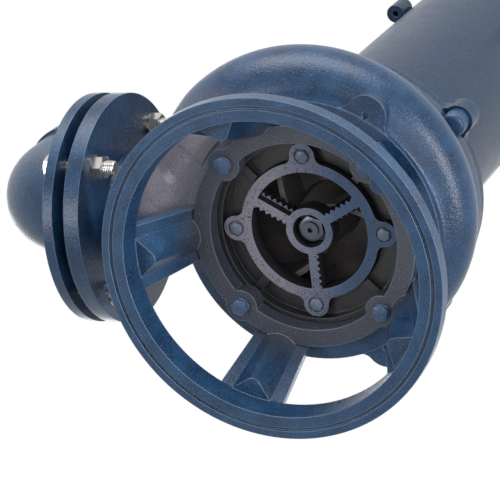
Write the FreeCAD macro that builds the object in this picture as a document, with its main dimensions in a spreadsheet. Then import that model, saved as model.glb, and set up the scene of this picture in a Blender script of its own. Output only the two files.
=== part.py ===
import FreeCAD, Part
import math
import os
import re
import Sketcher

# Submersible sewage pump with a serrated cutter plate, standing on its five-legged base.
# Frame: +Z is the motor axis, +X is the discharge side, the base ring stands on z = 0.

doc = FreeCAD.newDocument("SewagePump")

# Driving dimensions in millimetres and degrees.
SIZES = {
    # base stand
    "ring_outer_radius": 145,
    "ring_width": 19,
    "ring_edge_height": 12,
    "ring_height": 22,
    "ring_shoulder": 8,
    "ring_draft": 1.5,
    "ring_groove_inset": 8,
    "ring_groove_width": 3,
    "ring_groove_depth": 2.5,
    "leg_count": 5,
    "leg_foot_inset": 9.5,
    "leg_foot_half": 28,
    "leg_foot_depth": 12.1,
    "leg_foot_ridge_half": 17,
    "leg_foot_ridge_rise": 15.4,
    "leg_foot_tip_half": 5,
    "leg_foot_tip_radius": 7,
    "leg_top_step": 8,
    "leg_top_half": 22,
    "leg_top_depth": 14,
    "leg_top_ridge_half": 14,
    "leg_top_ridge_rise": 3,
    "leg_top_tip_half": 7,
    "leg_top_tip_radius": 30,
    "overlap": 1,
    "stand_flange_low": 77,
    "stand_flange_thick": 14,
    "stand_flange_width": 15,
    "stand_opening_radius": 82,
    "stand_boss_radius": 14,
    "stand_bolt_inset": 8.5,
    "stand_bolt_count": 4,
    "stand_bolt_angle": 45,
    "stand_bolt_radius": 5,
    "stand_bolt_flats": 16,
    "stand_bolt_head": 6.4,
    "stand_bolt_reach": 9,
    "bolt_clearance": 0.5,
    "thread_clearance": 0.1,
    # suction cover and cutter plate
    "cover_fit": 0.3,
    "cover_rim_width": 4.5,
    "cover_floor_level": 101,
    "cover_ledge_level": 105,
    "cover_top_level": 110,
    "cover_ledge_width": 8,
    "cover_eye_inset": 13,
    "cover_rib_width": 7,
    "cover_rib_height": 6,
    "cutter_front_level": 93,
    "cutter_fit": 0.5,
    "cutter_ring_width": 9,
    "cutter_hub_outer": 20.5,
    "cutter_hub_hole": 14.5,
    "cutter_spoke_count": 3,
    "cutter_spoke_angle": 30,
    "cutter_spoke_half": 3.2,
    "cutter_tooth_depth": 3,
    "cutter_tooth_count": 6,
    "cutter_tooth_crest": 0.55,
    "cutter_lug_count": 4,
    "cutter_lug_angle": 1,
    "cutter_lug_step": 4.5,
    "cutter_lug_radius": 11,
    "cutter_sink_radius": 7,
    "cutter_sink_depth": 2,
    "cutter_screw_radius": 3,
    "cutter_screw_flats": 10,
    "cutter_screw_head": 4,
    "cutter_screw_length": 14,
    # volute casing
    "volute_level": 130,
    "volute_start_angle": -35,
    "volute_sweep": 280,
    "volute_path_offset": 1.5,
    "volute_path_growth": 20,
    "volute_tube_start": 14.5,
    "volute_tube_growth": 26,
    "volute_wall": 7,
    "volute_bulge_radius": 200,
    "volute_bulge_inset": 2,
    "volute_foot_step": 17,
    "volute_foot_thick": 10,
    "volute_ear_count": 3,
    "volute_ear_angle": 1,
    "volute_ear_radius": 17.5,
    "volute_ear_reach": 3,
    "volute_ear_level": 93,
    "volute_ear_thick": 14,
    "volute_dimple_radius": 3,
    "volute_dimple_depth": 2,
    "ear_fillet": 10,
    "chamber_step": 2,
    "volute_top_level": 178,
    "volute_top_radius": 119,
    "volute_top_thick": 14,
    "volute_top_ledge": 24,
    "volute_skirt_wall": 4,
    "volute_lug_radius": 10.5,
    "neck_mid_x": 115,
    "neck_mid_y": 38,
    "neck_mid_turn": 50,
    "neck_mid_level": 129,
    "neck_mid_radius": 40,
    "neck_far_x": 143,
    "neck_far_y": 15,
    "neck_far_turn": 72,
    "neck_far_level": 115,
    "neck_far_radius": 44,
    "discharge_y": 11,
    "discharge_level": 109.3,
    "discharge_bore": 40,
    "flange_back_x": 169.6,
    "flange_radius": 99,
    "flange_thick": 13.7,
    "flange_bolt_circle": 80,
    "flange_bolt_angle": 45,
    "flange_face_radius": 64,
    "flange_face_height": 3.8,
    # discharge elbow and its bolts
    "flange_gasket_thick": 3,
    "elbow_flange_thick": 9,
    "elbow_outer_radius": 44,
    "elbow_bore": 38,
    "elbow_bend_radius": 50,
    "elbow_stub": 9.5,
    "elbow_rise": 42,
    "elbow_lip_radius": 47,
    "elbow_lip_height": 14,
    "flange_bolt_radius": 6,
    "flange_bolt_tail": 9,
    "flange_bolt_flats": 18,
    "flange_nut_height": 10,
    "flange_nut_turn": 12,
    "flange_bolt_head": 7.5,
    "flange_washer_radius": 10.5,
    "flange_washer_thick": 2,
    # oil chamber and motor casing
    "paper_gasket": 0.5,
    "oil_chamber_floor": 157,
    "oil_chamber_floor_thick": 8,
    "oil_flange_thick": 12,
    "oil_space_inset": 21,
    "oil_hub_height": 19,
    "oil_hub_wall": 10,
    "motor_radius": 85,
    "motor_wall": 7,
    "motor_flange_inset": 2,
    "motor_flange_thick": 12,
    "motor_fillet": 8,
    "motor_ear_count": 4,
    "motor_ear_angle": 58,
    "motor_ear_reach": 3.5,
    "motor_ear_radius": 13,
    "motor_ear_thick": 19,
    "motor_bolt_radius": 5,
    "motor_bolt_flats": 16,
    "motor_bolt_head": 6.4,
    "motor_bolt_reach": 12,
    "motor_top_level": 540,
    # rotating parts, bearings and seals
    "shaft_tip_level": 95,
    "shaft_thread_radius": 7,
    "shaft_centre_radius": 2.2,
    "shaft_centre_depth": 5,
    "shaft_nose_radius": 11,
    "shaft_seal_radius": 15,
    "shaft_bearing_radius": 17.5,
    "shaft_core_radius": 22,
    "shaft_upper_radius": 12.5,
    "shaft_end_gap": 1,
    "running_gap": 0.5,
    "fit_gap": 0.05,
    "impeller_inset": 13,
    "impeller_back_level": 149,
    "impeller_back_thick": 5,
    "impeller_hub_radius": 20,
    "impeller_hub_flare": 6,
    "impeller_vane_count": 3,
    "impeller_vane_thick": 7,
    "impeller_vane_wrap": 75,
    "impeller_vane_bend": 75,
    "impeller_vane_trim": 0.5,
    "impeller_key_start": 6,
    "impeller_key_width": 6,
    "impeller_key_height": 2.5,
    "impeller_key_length": 24,
    "impeller_washer_radius": 13.6,
    "impeller_washer_thick": 2.5,
    "impeller_nut_flats": 21,
    "impeller_nut_height": 11,
    "impeller_nut_turn": 10,
    "seal_seat_radius": 24,
    "seal_head_radius": 21.5,
    "seal_seat_height": 8,
    "seal_head_height": 8,
    "seal_seat_lift": 0.5,
    "seal_face_gap": 0.3,
    "seal_bore_gap": 1,
    "seal_spring_gap": 2,
    "seal_spring_width": 2.5,
    "lower_bearing_outer": 40,
    "lower_bearing_width": 21,
    "lower_ball_radius": 6.4,
    "lower_ball_count": 7,
    "upper_bearing_outer": 31,
    "upper_bearing_width": 17,
    "upper_ball_radius": 5.2,
    "upper_ball_count": 7,
    "bearing_seat_wall": 7,
    "bearing_ring_share": 0.28,
    "bracket_flange_step": 2,
    "bracket_flange_thick": 8,
    "bracket_lip": 8,
    "bracket_hub_wall": 9,
    "stator_low_level": 300,
    "stator_length": 160,
    "stator_bore": 47,
    "air_gap": 0.6,
    "winding_gap": 3,
    "winding_inset": 6,
    "winding_height": 28,
    "rotor_ring_inner": 30,
    "rotor_ring_height": 9,
    "rotor_ring_step": 1,
    # top cover, handle and gland
    "cover_plate_thick": 12,
    "cover_cap_height": 28,
    "cover_cap_inset": 15,
    "cover_dome_radius": 45,
    "cover_roof_thick": 12,
    "cover_spigot_height": 8,
    "cover_screw_count": 4,
    "cover_screw_angle": 45,
    "cover_screw_radius": 3,
    "cover_screw_head_radius": 5,
    "cover_screw_head": 5,
    "cover_screw_length": 20,
    "cover_ear_radius": 9,
    "cover_ear_reach": 7,
    "cover_ear_depth": 14,
    "handle_bar_inset": 28,
    "handle_rise": 62,
    "handle_bar_radius": 7,
    "handle_bend": 22,
    "handle_tab_length": 38,
    "handle_tab_inset": 2,
    "handle_tab_half": 12,
    "handle_tab_thick": 6,
    "handle_bolt_inset": 11,
    "handle_bolt_radius": 4,
    "handle_bolt_flats": 13,
    "handle_bolt_head": 5.3,
    "handle_bolt_length": 17,
    "gland_x": -42,
    "gland_body_radius": 15,
    "gland_body_height": 18,
    "gland_thread_radius": 10,
    "gland_thread_depth": 9,
    "gland_nut_flats": 34,
    "gland_nut_height": 14,
    "gland_bore": 9,
    "gland_cable_hole": 6.5,
    "gland_grommet_rise": 4,
}

sheet = doc.addObject("Spreadsheet::Sheet", "Sizes")
for row, (name, value) in enumerate(SIZES.items(), start=1):
    sheet.set("A%d" % row, name)
    sheet.set("B%d" % row, str(value))
    sheet.setAlias("B%d" % row, name)
doc.recompute()


def formula(text):
    """The text with every size's name pointing at its cell in the sheet."""
    def cell(match):
        word = match.group()
        return "Sizes." + word if word in SIZES else word
    return re.sub(r"[a-z][a-z_0-9]*", cell, text)


def number(text):
    """The value of a formula in sizes."""
    result = sheet.evalExpression(formula(text).replace("Sizes.", ""))
    return float(getattr(result, "Value", result))


def new_body(label):
    """An empty body whose label names its file."""
    body = doc.addObject("PartDesign::Body", label)
    body.Label = label
    body.AllowCompound = True
    return body


def origin_plane(body, role):
    """One of the body's own origin planes or axes."""
    return next(item for item in body.Origin.OriginFeatures if item.Role == role)


def new_sketch(body, role, shift="0", across="0", turn="0", spin="0"):
    """A sketch on an origin plane, moved along its normal or its first axis.

    Then it is turned about its second axis, and spun about its normal.
    """
    sketch = body.newObject("Sketcher::SketchObject", body.Label + "_sketch")
    sketch.AttachmentSupport = [(origin_plane(body, role), "")]
    sketch.MapMode = "FlatFace"
    turned = "rotation(vector(0; 1; 0); %s)" % formula(turn)
    spun = "rotation(vector(0; 0; 1); %s)" % formula(spin)
    moved = "vector(%s; 0; %s)" % (formula(across), formula(shift))
    sketch.setExpression("AttachmentOffset", "placement(%s; %s * %s)" % (moved, turned, spun))
    return sketch


def pin_point(sketch, item, end, x, y):
    """Ties one point of a sketch's geometry to two formulas."""
    for kind, axis, text in (("DistanceX", -2, x), ("DistanceY", -1, y)):
        if text == "0":
            sketch.addConstraint(Sketcher.Constraint("PointOnObject", item, end, axis))
            continue
        index = sketch.addConstraint(Sketcher.Constraint(kind, -1, 1, item, end, number(text)))
        sketch.setExpression("Constraints[%d]" % index, formula(text))


def pin_radius(sketch, item, radius):
    """Ties the radius of an arc or a circle to a formula."""
    index = sketch.addConstraint(Sketcher.Constraint("Radius", item, number(radius)))
    sketch.setExpression("Constraints[%d]" % index, formula(radius))


def add_circle(sketch, radius, x="0", y="0"):
    """A circle whose centre and radius are formulas."""
    centre = FreeCAD.Vector(number(x), number(y), 0)
    item = sketch.addGeometry(Part.Circle(centre, FreeCAD.Vector(0, 0, 1), number(radius)))
    pin_point(sketch, item, 3, x, y)
    pin_radius(sketch, item, radius)


def arc_between(start, end, radius, side):
    """An arc from start to end, bulging to the left (side 1) or right (side -1) of their line."""
    chord = end - start
    left = FreeCAD.Vector(-chord.y, chord.x, 0).normalize()
    to_centre = math.sqrt(radius ** 2 - (chord.Length / 2) ** 2)
    centre = (start + end) * 0.5 - left * (side * to_centre)
    first, last = (start, end) if side < 0 else (end, start)
    angles = [math.atan2(p.y - centre.y, p.x - centre.x) for p in (first, last)]
    if angles[1] < angles[0]:
        angles[1] += 2 * math.pi
    return Part.ArcOfCircle(Part.Circle(centre, FreeCAD.Vector(0, 0, 1), radius), *angles)


def add_outline(sketch, points):
    """A closed outline of (x, y) corners.

    A third and fourth entry bend the edge after a corner into an arc.
    """
    corners = [FreeCAD.Vector(number(p[0]), number(p[1]), 0) for p in points]
    items = []
    for index, point in enumerate(points):
        start = corners[index]
        end = corners[(index + 1) % len(points)]
        if len(point) == 2:
            items.append(sketch.addGeometry(Part.LineSegment(start, end)))
        else:
            arc = arc_between(start, end, number(point[2]), point[3])
            items.append(sketch.addGeometry(arc))
    ends = []
    for point in points:
        backward = len(point) > 2 and point[3] > 0
        ends.append((2, 1) if backward else (1, 2))
    for index, item in enumerate(items):
        following = (index + 1) % len(items)
        joint = Sketcher.Constraint("Coincident", item, ends[index][1], items[following], ends[following][0])
        sketch.addConstraint(joint)
        pin_point(sketch, item, ends[index][0], points[index][0], points[index][1])
        if len(points[index]) > 2:
            pin_radius(sketch, item, points[index][2])


def add_hexagon(sketch, flats, x="0", y="0", turn="0"):
    """A regular hexagon, given its size across the flats."""
    reach = "(%s) / 2 / cos(30)" % flats
    corners = []
    for step in range(6):
        angle = "(%s) + %d" % (turn, 60 * step)
        corners.append(("(%s) + %s * cos(%s)" % (x, reach, angle), "(%s) + %s * sin(%s)" % (y, reach, angle)))
    add_outline(sketch, corners)


def add_feature(body, kind, sketch):
    """A feature of the body that takes the sketch as its profile."""
    feature = body.newObject("PartDesign::" + kind, body.Label + "_" + kind.lower())
    feature.Profile = sketch
    feature.Refine = False
    return feature


def revolve(body, points, cut=False):
    """A profile of (radius, level) corners turned once about the motor axis."""
    sketch = new_sketch(body, "XZ_Plane")
    add_outline(sketch, points)
    feature = add_feature(body, "Groove" if cut else "Revolution", sketch)
    feature.ReferenceAxis = (sketch, ["V_Axis"])
    feature.Angle = 360
    return feature


def extrude(body, sketch, length, cut=False, forward=None):
    """The sketch pushed along its normal. A cut also goes forward unless it is told to go back."""
    feature = add_feature(body, "Pocket" if cut else "Pad", sketch)
    feature.setExpression("Length", formula(length))
    going_forward = True if forward is None else forward
    feature.Reversed = going_forward if cut else not going_forward
    return feature


def pattern(body, features, count):
    """Copies of the features, evenly spaced about the motor axis."""
    ring = body.newObject("PartDesign::PolarPattern", body.Label + "_ring")
    ring.Originals = features
    ring.Axis = (origin_plane(body, "Z_Axis"), [""])
    ring.Angle = 360
    ring.setExpression("Occurrences", formula(count))
    body.Tip = ring
    return ring


def disc(body, radius, level, length, x="0", y="0", cut=False):
    """An upright cylinder, or a hole of that shape."""
    sketch = new_sketch(body, "XY_Plane", shift=level)
    add_circle(sketch, radius, x, y)
    return extrude(body, sketch, length, cut)


def cross_disc(body, radius, start, length, y, z, cut=False):
    """A cylinder along +X, or a hole of that shape."""
    sketch = new_sketch(body, "YZ_Plane", shift=start)
    add_circle(sketch, radius, y, z)
    return extrude(body, sketch, length, cut)


def hexagon(body, flats, level, length, x="0", y="0", turn="0"):
    """An upright hexagonal prism."""
    sketch = new_sketch(body, "XY_Plane", shift=level)
    add_hexagon(sketch, flats, x, y, turn)
    return extrude(body, sketch, length)


def ring_piece(label, inner, outer, low, high):
    """A plain ring about the motor axis."""
    body = new_body(label)
    revolve(body, [(inner, low), (outer, low), (outer, high), (inner, high)])
    return body


def on_circle(radius, angle):
    """The x and y formulas of a point at a radius and an angle."""
    return "(%s) * cos(%s)" % (radius, angle), "(%s) * sin(%s)" % (radius, angle)


def radial_bar(inner, outer, half, angle):
    """Corners of a straight bar that points away from the motor axis at an angle."""
    corners = []
    for reach, side in ((inner, "-"), (outer, "-"), (outer, ""), (inner, "")):
        x = "(%s) * cos(%s) - (%s%s) * sin(%s)" % (reach, angle, side, half, angle)
        y = "(%s) * sin(%s) + (%s%s) * cos(%s)" % (reach, angle, side, half, angle)
        corners.append((x, y))
    return corners


# Levels and places that several pieces share
RING_INNER = "(ring_outer_radius - ring_width)"
STAND_TOP = "(stand_flange_low + stand_flange_thick)"
STAND_FLANGE_RADIUS = "(stand_opening_radius + stand_flange_width)"
STAND_BOLT_CIRCLE = "(%s - stand_bolt_inset)" % STAND_FLANGE_RADIUS
COVER_LEDGE = "(stand_opening_radius - cover_ledge_width)"
COVER_EYE = "(%s - cover_eye_inset)" % COVER_LEDGE
CUTTER_OUTER = "(%s - cutter_fit)" % COVER_EYE
CUTTER_INNER = "(%s - cutter_ring_width)" % CUTTER_OUTER
VOLUTE_FOOT_RADIUS = "(%s + volute_foot_step)" % STAND_FLANGE_RADIUS
COVER_RADIUS = "(stand_opening_radius - cover_fit)"
BOLT_X, BOLT_Y = on_circle(STAND_BOLT_CIRCLE, "stand_bolt_angle")
VOLUTE_EAR_CIRCLE = "(%s + volute_ear_reach)" % VOLUTE_FOOT_RADIUS
VOLUTE_TOP_OPENING = "(volute_top_radius - volute_top_ledge)"
CHAMBER_RADIUS = "(%s - chamber_step)" % VOLUTE_TOP_OPENING
OIL_FLANGE_RADIUS = "(volute_top_radius - volute_skirt_wall - cover_fit)"
OIL_SPACE_RADIUS = "(%s - oil_space_inset)" % VOLUTE_TOP_OPENING
LUG_X, LUG_Y = on_circle("%s + cutter_lug_step" % COVER_EYE, "cutter_lug_angle")
OIL_TOP = "(volute_top_level + paper_gasket + oil_flange_thick)"
SKIRT_TOP = "(%s - cover_fit)" % OIL_TOP
MOTOR_LOW = "(%s + paper_gasket)" % OIL_TOP
MOTOR_EAR_CIRCLE = "(volute_top_radius + motor_ear_reach)"
EAR_X, EAR_Y = on_circle(MOTOR_EAR_CIRCLE, "motor_ear_angle")
MOTOR_FLANGE_RADIUS = "(volute_top_radius - motor_flange_inset)"
MOTOR_BORE = "(motor_radius - motor_wall)"
BRACKET_RADIUS = "(%s + bracket_flange_step)" % MOTOR_BORE
COVER_EAR_X, COVER_EAR_Y = on_circle("motor_radius + cover_ear_reach", "cover_screw_angle")
CAP_RADIUS = "(motor_radius - cover_cap_inset)"
HANDLE_BAR = "(%s - handle_bar_inset)" % CAP_RADIUS
HANDLE_TAB_OUTER = "(%s - handle_tab_inset)" % CAP_RADIUS
HANDLE_BOLT = "(%s - handle_bolt_inset)" % CAP_RADIUS
FLANGE_FRONT = "(flange_back_x + flange_thick)"
GASKET_X = "(%s + flange_face_height)" % FLANGE_FRONT
ELBOW_FACE_X = "(%s + flange_gasket_thick)" % GASKET_X
ELBOW_FLANGE_X = "(%s + flange_face_height)" % ELBOW_FACE_X
ELBOW_BACK_X = "(%s + elbow_flange_thick)" % ELBOW_FLANGE_X
LOWER_BEARING = "(%s + bracket_lip)" % MOTOR_LOW
LOWER_SHOULDER = "(%s + lower_bearing_width)" % LOWER_BEARING
UPPER_SHOULDER = "(motor_top_level - cover_spigot_height - upper_bearing_width)"
UPPER_BEARING_TOP = "(%s + upper_bearing_width)" % UPPER_SHOULDER
HUB_FRONT = "(cover_top_level + running_gap)"
HUB_TOP = "(oil_chamber_floor - running_gap)"
KEY_LOW = "(%s + impeller_key_start)" % HUB_FRONT
SEAT_LOW = "(oil_chamber_floor + seal_seat_lift)"
SEAT_HIGH = "(%s + seal_seat_height)" % SEAT_LOW
LOWER_HEAD_LOW = "(%s + seal_face_gap)" % SEAT_HIGH
LOWER_HEAD_HIGH = "(%s + seal_head_height)" % LOWER_HEAD_LOW
UPPER_HEAD_HIGH = "(%s - seal_face_gap)" % MOTOR_LOW
UPPER_HEAD_LOW = "(%s - seal_head_height)" % UPPER_HEAD_HIGH
STATOR_TOP = "(stator_low_level + stator_length)"
ROTOR_RADIUS = "(stator_bore - air_gap)"
CAP_TOP = "(motor_top_level + cover_plate_thick + cover_cap_height)"


def leg_section(body, level, outer, end):
    """One cross-section of a leg.

    It has a flat back, two square shoulders and a ridge with a round tip facing inward.
    """
    def size(name):
        return "leg_%s_%s" % (end, name)
    half, ridge_half, tip_half = size("half"), size("ridge_half"), size("tip_half")
    shoulder = "(%s - %s)" % (outer, size("depth"))
    tip_radius = size("tip_radius")
    tip_rise = "(%s - sqrt(%s ^ 2 - %s ^ 2))" % (tip_radius, tip_radius, tip_half)
    tip_start = "(%s - %s + %s)" % (shoulder, size("ridge_rise"), tip_rise)
    sketch = new_sketch(body, "XY_Plane", shift=level)
    add_outline(sketch, [
        (outer, "-" + half),
        (outer, half),
        (shoulder, half),
        (shoulder, ridge_half),
        (tip_start, tip_half, tip_radius, -1),
        (tip_start, "-" + tip_half),
        (shoulder, "-" + ridge_half),
        (shoulder, "-" + half),
    ])
    return sketch


def make_base_stand():
    """Foot ring, five sloping legs with a ridge inside, and the flange under the pump."""
    body = new_body("base_stand")
    groove_in = "ring_outer_radius - ring_groove_inset - ring_groove_width / 2"
    groove_out = "ring_outer_radius - ring_groove_inset + ring_groove_width / 2"
    revolve(body, [
        (RING_INNER, "0"),
        (groove_in, "0"),
        (groove_in, "ring_groove_depth"),
        (groove_out, "ring_groove_depth"),
        (groove_out, "0"),
        ("ring_outer_radius", "0"),
        ("ring_outer_radius", "ring_edge_height"),
        ("ring_outer_radius - ring_shoulder", "ring_height"),
        (RING_INNER + " - ring_draft", "ring_height"),
    ])
    low, top = "stand_flange_low", STAND_TOP
    revolve(body, [
        ("stand_opening_radius", low),
        (STAND_FLANGE_RADIUS, low),
        (STAND_FLANGE_RADIUS, top),
        ("stand_opening_radius", top),
    ])
    foot = leg_section(body, "ring_height - overlap", "(ring_outer_radius - leg_foot_inset)", "foot")
    head = leg_section(body, top, "(%s + leg_top_step)" % STAND_FLANGE_RADIUS, "top")
    leg = add_feature(body, "AdditiveLoft", foot)
    leg.Sections = [head]
    pattern(body, [leg], "leg_count")
    boss = disc(body, "stand_boss_radius", low, "stand_flange_thick", BOLT_X, BOLT_Y)
    spot_face = disc(
        body, "stand_bolt_flats / 2 / cos(30) + bolt_clearance", low + " - 2 * stand_bolt_head",
        "2 * stand_bolt_head", BOLT_X, BOLT_Y, cut=True)
    hole = disc(
        body, "stand_bolt_radius + bolt_clearance", low, "stand_flange_thick", BOLT_X, BOLT_Y, cut=True)
    pattern(body, [boss, spot_face, hole], "stand_bolt_count")
    return body


def make_base_bolts():
    """Hexagon-head bolts that hold the stand under the volute."""
    body = new_body("base_bolts")
    head = hexagon(
        body, "stand_bolt_flats", "stand_flange_low - stand_bolt_head", "stand_bolt_head", BOLT_X, BOLT_Y)
    shank = disc(
        body, "stand_bolt_radius", "stand_flange_low", "stand_flange_thick + stand_bolt_reach",
        BOLT_X, BOLT_Y)
    pattern(body, [head, shank], "stand_bolt_count")
    return body


def make_suction_cover():
    """Stepped cover in the volute's mouth, with ribs, that carries the cutter plate."""
    body = new_body("suction_cover")
    rim_inner = "%s - cover_rim_width" % COVER_RADIUS
    step = COVER_LEDGE + " - cover_fit"
    revolve(body, [
        (rim_inner, STAND_TOP),
        (COVER_RADIUS, STAND_TOP),
        (COVER_RADIUS, "cover_ledge_level"),
        (step, "cover_ledge_level"),
        (step, "cover_top_level"),
        (COVER_EYE, "cover_top_level"),
        (COVER_EYE, "cover_floor_level"),
        (rim_inner, "cover_floor_level"),
    ])
    sketch = new_sketch(body, "XY_Plane", shift="cover_floor_level - cover_rib_height")
    outer = "%s - cover_rim_width / 2" % COVER_RADIUS
    add_outline(sketch, radial_bar(
        COVER_EYE + " + overlap", outer, "cover_rib_width / 2", "stand_bolt_angle"))
    rib = extrude(body, sketch, "cover_rib_height + overlap")
    pattern(body, [rib], "stand_bolt_count")
    hole = disc(
        body, "cutter_screw_radius + thread_clearance", "cover_floor_level",
        "cover_top_level - cover_floor_level", LUG_X, LUG_Y, cut=True)
    pattern(body, [hole], "cutter_lug_count")
    return body


def spoke_corners(side, inner, outer, straight):
    """Corners of one spoke's half: a row of saw teeth along one side and a straight line inside it."""
    corners = [(inner, straight)]
    count = int(round(number("cutter_tooth_count")))
    root = "%s * cutter_spoke_half" % side
    tip = "%s * (cutter_spoke_half + cutter_tooth_depth)" % side
    for tooth in range(count):
        start = "%s + (%s - %s) * %d / cutter_tooth_count" % (inner, outer, inner, tooth)
        crest = "%s + (%s - %s) * (%d + cutter_tooth_crest) / cutter_tooth_count" % (
            inner, outer, inner, tooth)
        corners.append((start, root))
        corners.append((crest, tip))
    corners.append((outer, root))
    corners.append((outer, straight))
    return corners


def make_cutter_plate():
    """Ring, hub and three serrated spokes, with four screw lugs."""
    body = new_body("cutter_plate")
    front, back = "cutter_front_level", "cover_top_level"
    depth = "%s - %s" % (back, front)
    revolve(body, [
        (CUTTER_INNER, front),
        (CUTTER_OUTER, front),
        (CUTTER_OUTER, back),
        (CUTTER_INNER, back),
    ])
    revolve(body, [
        ("cutter_hub_hole", front),
        ("cutter_hub_outer", front),
        ("cutter_hub_outer", back),
        ("cutter_hub_hole", back),
    ])
    inner = "(cutter_hub_outer - overlap)"
    outer = "(%s + overlap)" % CUTTER_INNER
    full = new_sketch(body, "XY_Plane", shift=front, spin="cutter_spoke_angle")
    add_outline(full, spoke_corners("-1", inner, outer, "cutter_spoke_half"))
    blade = extrude(body, full, depth)
    half = new_sketch(body, "XY_Plane", shift="(%s + %s) / 2" % (front, back), spin="cutter_spoke_angle")
    add_outline(half, spoke_corners("1", inner, outer, "cutter_spoke_half - overlap"))
    back_teeth = extrude(body, half, "(%s) / 2" % depth)
    pattern(body, [blade, back_teeth], "cutter_spoke_count")
    lug = disc(body, "cutter_lug_radius", front, "cover_floor_level - " + front, LUG_X, LUG_Y)
    sink = disc(body, "cutter_sink_radius", front, "cutter_sink_depth", LUG_X, LUG_Y, cut=True)
    hole = disc(
        body, "cutter_screw_radius + bolt_clearance", front, "cover_floor_level - " + front,
        LUG_X, LUG_Y, cut=True)
    pattern(body, [lug, sink, hole], "cutter_lug_count")
    return body


def make_cutter_screws():
    """Hexagon-head screws in the sinks of the cutter plate's lugs."""
    body = new_body("cutter_screws")
    seat = "cutter_front_level + cutter_sink_depth"
    head = hexagon(
        body, "cutter_screw_flats", seat + " - cutter_screw_head", "cutter_screw_head", LUG_X, LUG_Y)
    shank = disc(body, "cutter_screw_radius", seat, "cutter_screw_length", LUG_X, LUG_Y)
    pattern(body, [head, shank], "cutter_lug_count")
    return body


SPIRAL_STEPS = 20


def ear_web(body, level, thick, rim, circle, ear, angle):
    """The metal that fills the two corners between a round rim and an ear, with concave arcs."""
    far = "(%s + ear_fillet)" % rim
    near = "(%s + ear_fillet)" % ear
    turn = "acos((%s ^ 2 + %s ^ 2 - %s ^ 2) / (2 * %s * %s))" % (circle, far, near, circle, far)
    share = "(%s / %s)" % (ear, near)
    rim_x, rim_y = on_circle(rim, turn)
    ear_x = "%s + (%s * cos(%s) - %s) * %s" % (circle, far, turn, circle, share)
    ear_y = "%s * sin(%s) * %s" % (far, turn, share)
    sketch = new_sketch(body, "XY_Plane", shift=level, spin=angle)
    add_outline(sketch, [
        (rim_x, rim_y, "ear_fillet", -1),
        (ear_x, ear_y),
        (ear_x, "-" + ear_y, "ear_fillet", -1),
        (rim_x, "-" + rim_y),
    ])
    return extrude(body, sketch, thick)


def volute_ear_angles():
    """The angle of each ear on the volute's foot."""
    count = int(round(number("volute_ear_count")))
    return ["volute_ear_angle + 360 * %d / volute_ear_count" % step for step in range(count)]


def quarter_places(radius, angle):
    """The x and y formulas of four points a quarter turn apart."""
    return [on_circle(radius, "%s + %d" % (angle, 90 * step)) for step in range(4)]


def flange_places():
    """The y and z formulas of the discharge flange's bolts, with the angle of each."""
    for step in range(4):
        angle = "flange_bolt_angle + %d" % (90 * step)
        y, z = on_circle("flange_bolt_circle", angle)
        yield "discharge_y + " + y, "discharge_level + " + z, angle


def passage_sections(body, wall, end_x):
    """Circles along the spiral and the neck up to the flange, each in the plane across the flow."""
    sections = []
    for step in range(SPIRAL_STEPS + 1):
        share = "%d / %d" % (step, SPIRAL_STEPS)
        sketch = new_sketch(body, "XZ_Plane", turn="volute_start_angle - volute_sweep * " + share)
        add_circle(
            sketch,
            "volute_tube_start + volute_tube_growth * %s - %s" % (share, wall),
            CHAMBER_RADIUS + " + volute_path_offset + volute_path_growth * " + share,
            "volute_level")
        sections.append(sketch)
    for place in ("mid", "far"):
        x, y = "neck_%s_x" % place, "neck_%s_y" % place
        sketch = new_sketch(body, "XZ_Plane", turn="neck_%s_turn" % place, across=x, shift="-" + y)
        add_circle(sketch, "neck_%s_radius - %s" % (place, wall), "0", "neck_%s_level" % place)
        sections.append(sketch)
    sketch = new_sketch(body, "XZ_Plane", turn="90", across=end_x, shift="-discharge_y")
    add_circle(sketch, "discharge_bore + volute_wall - %s" % wall, "0", "discharge_level")
    sections.append(sketch)
    return sections


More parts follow.
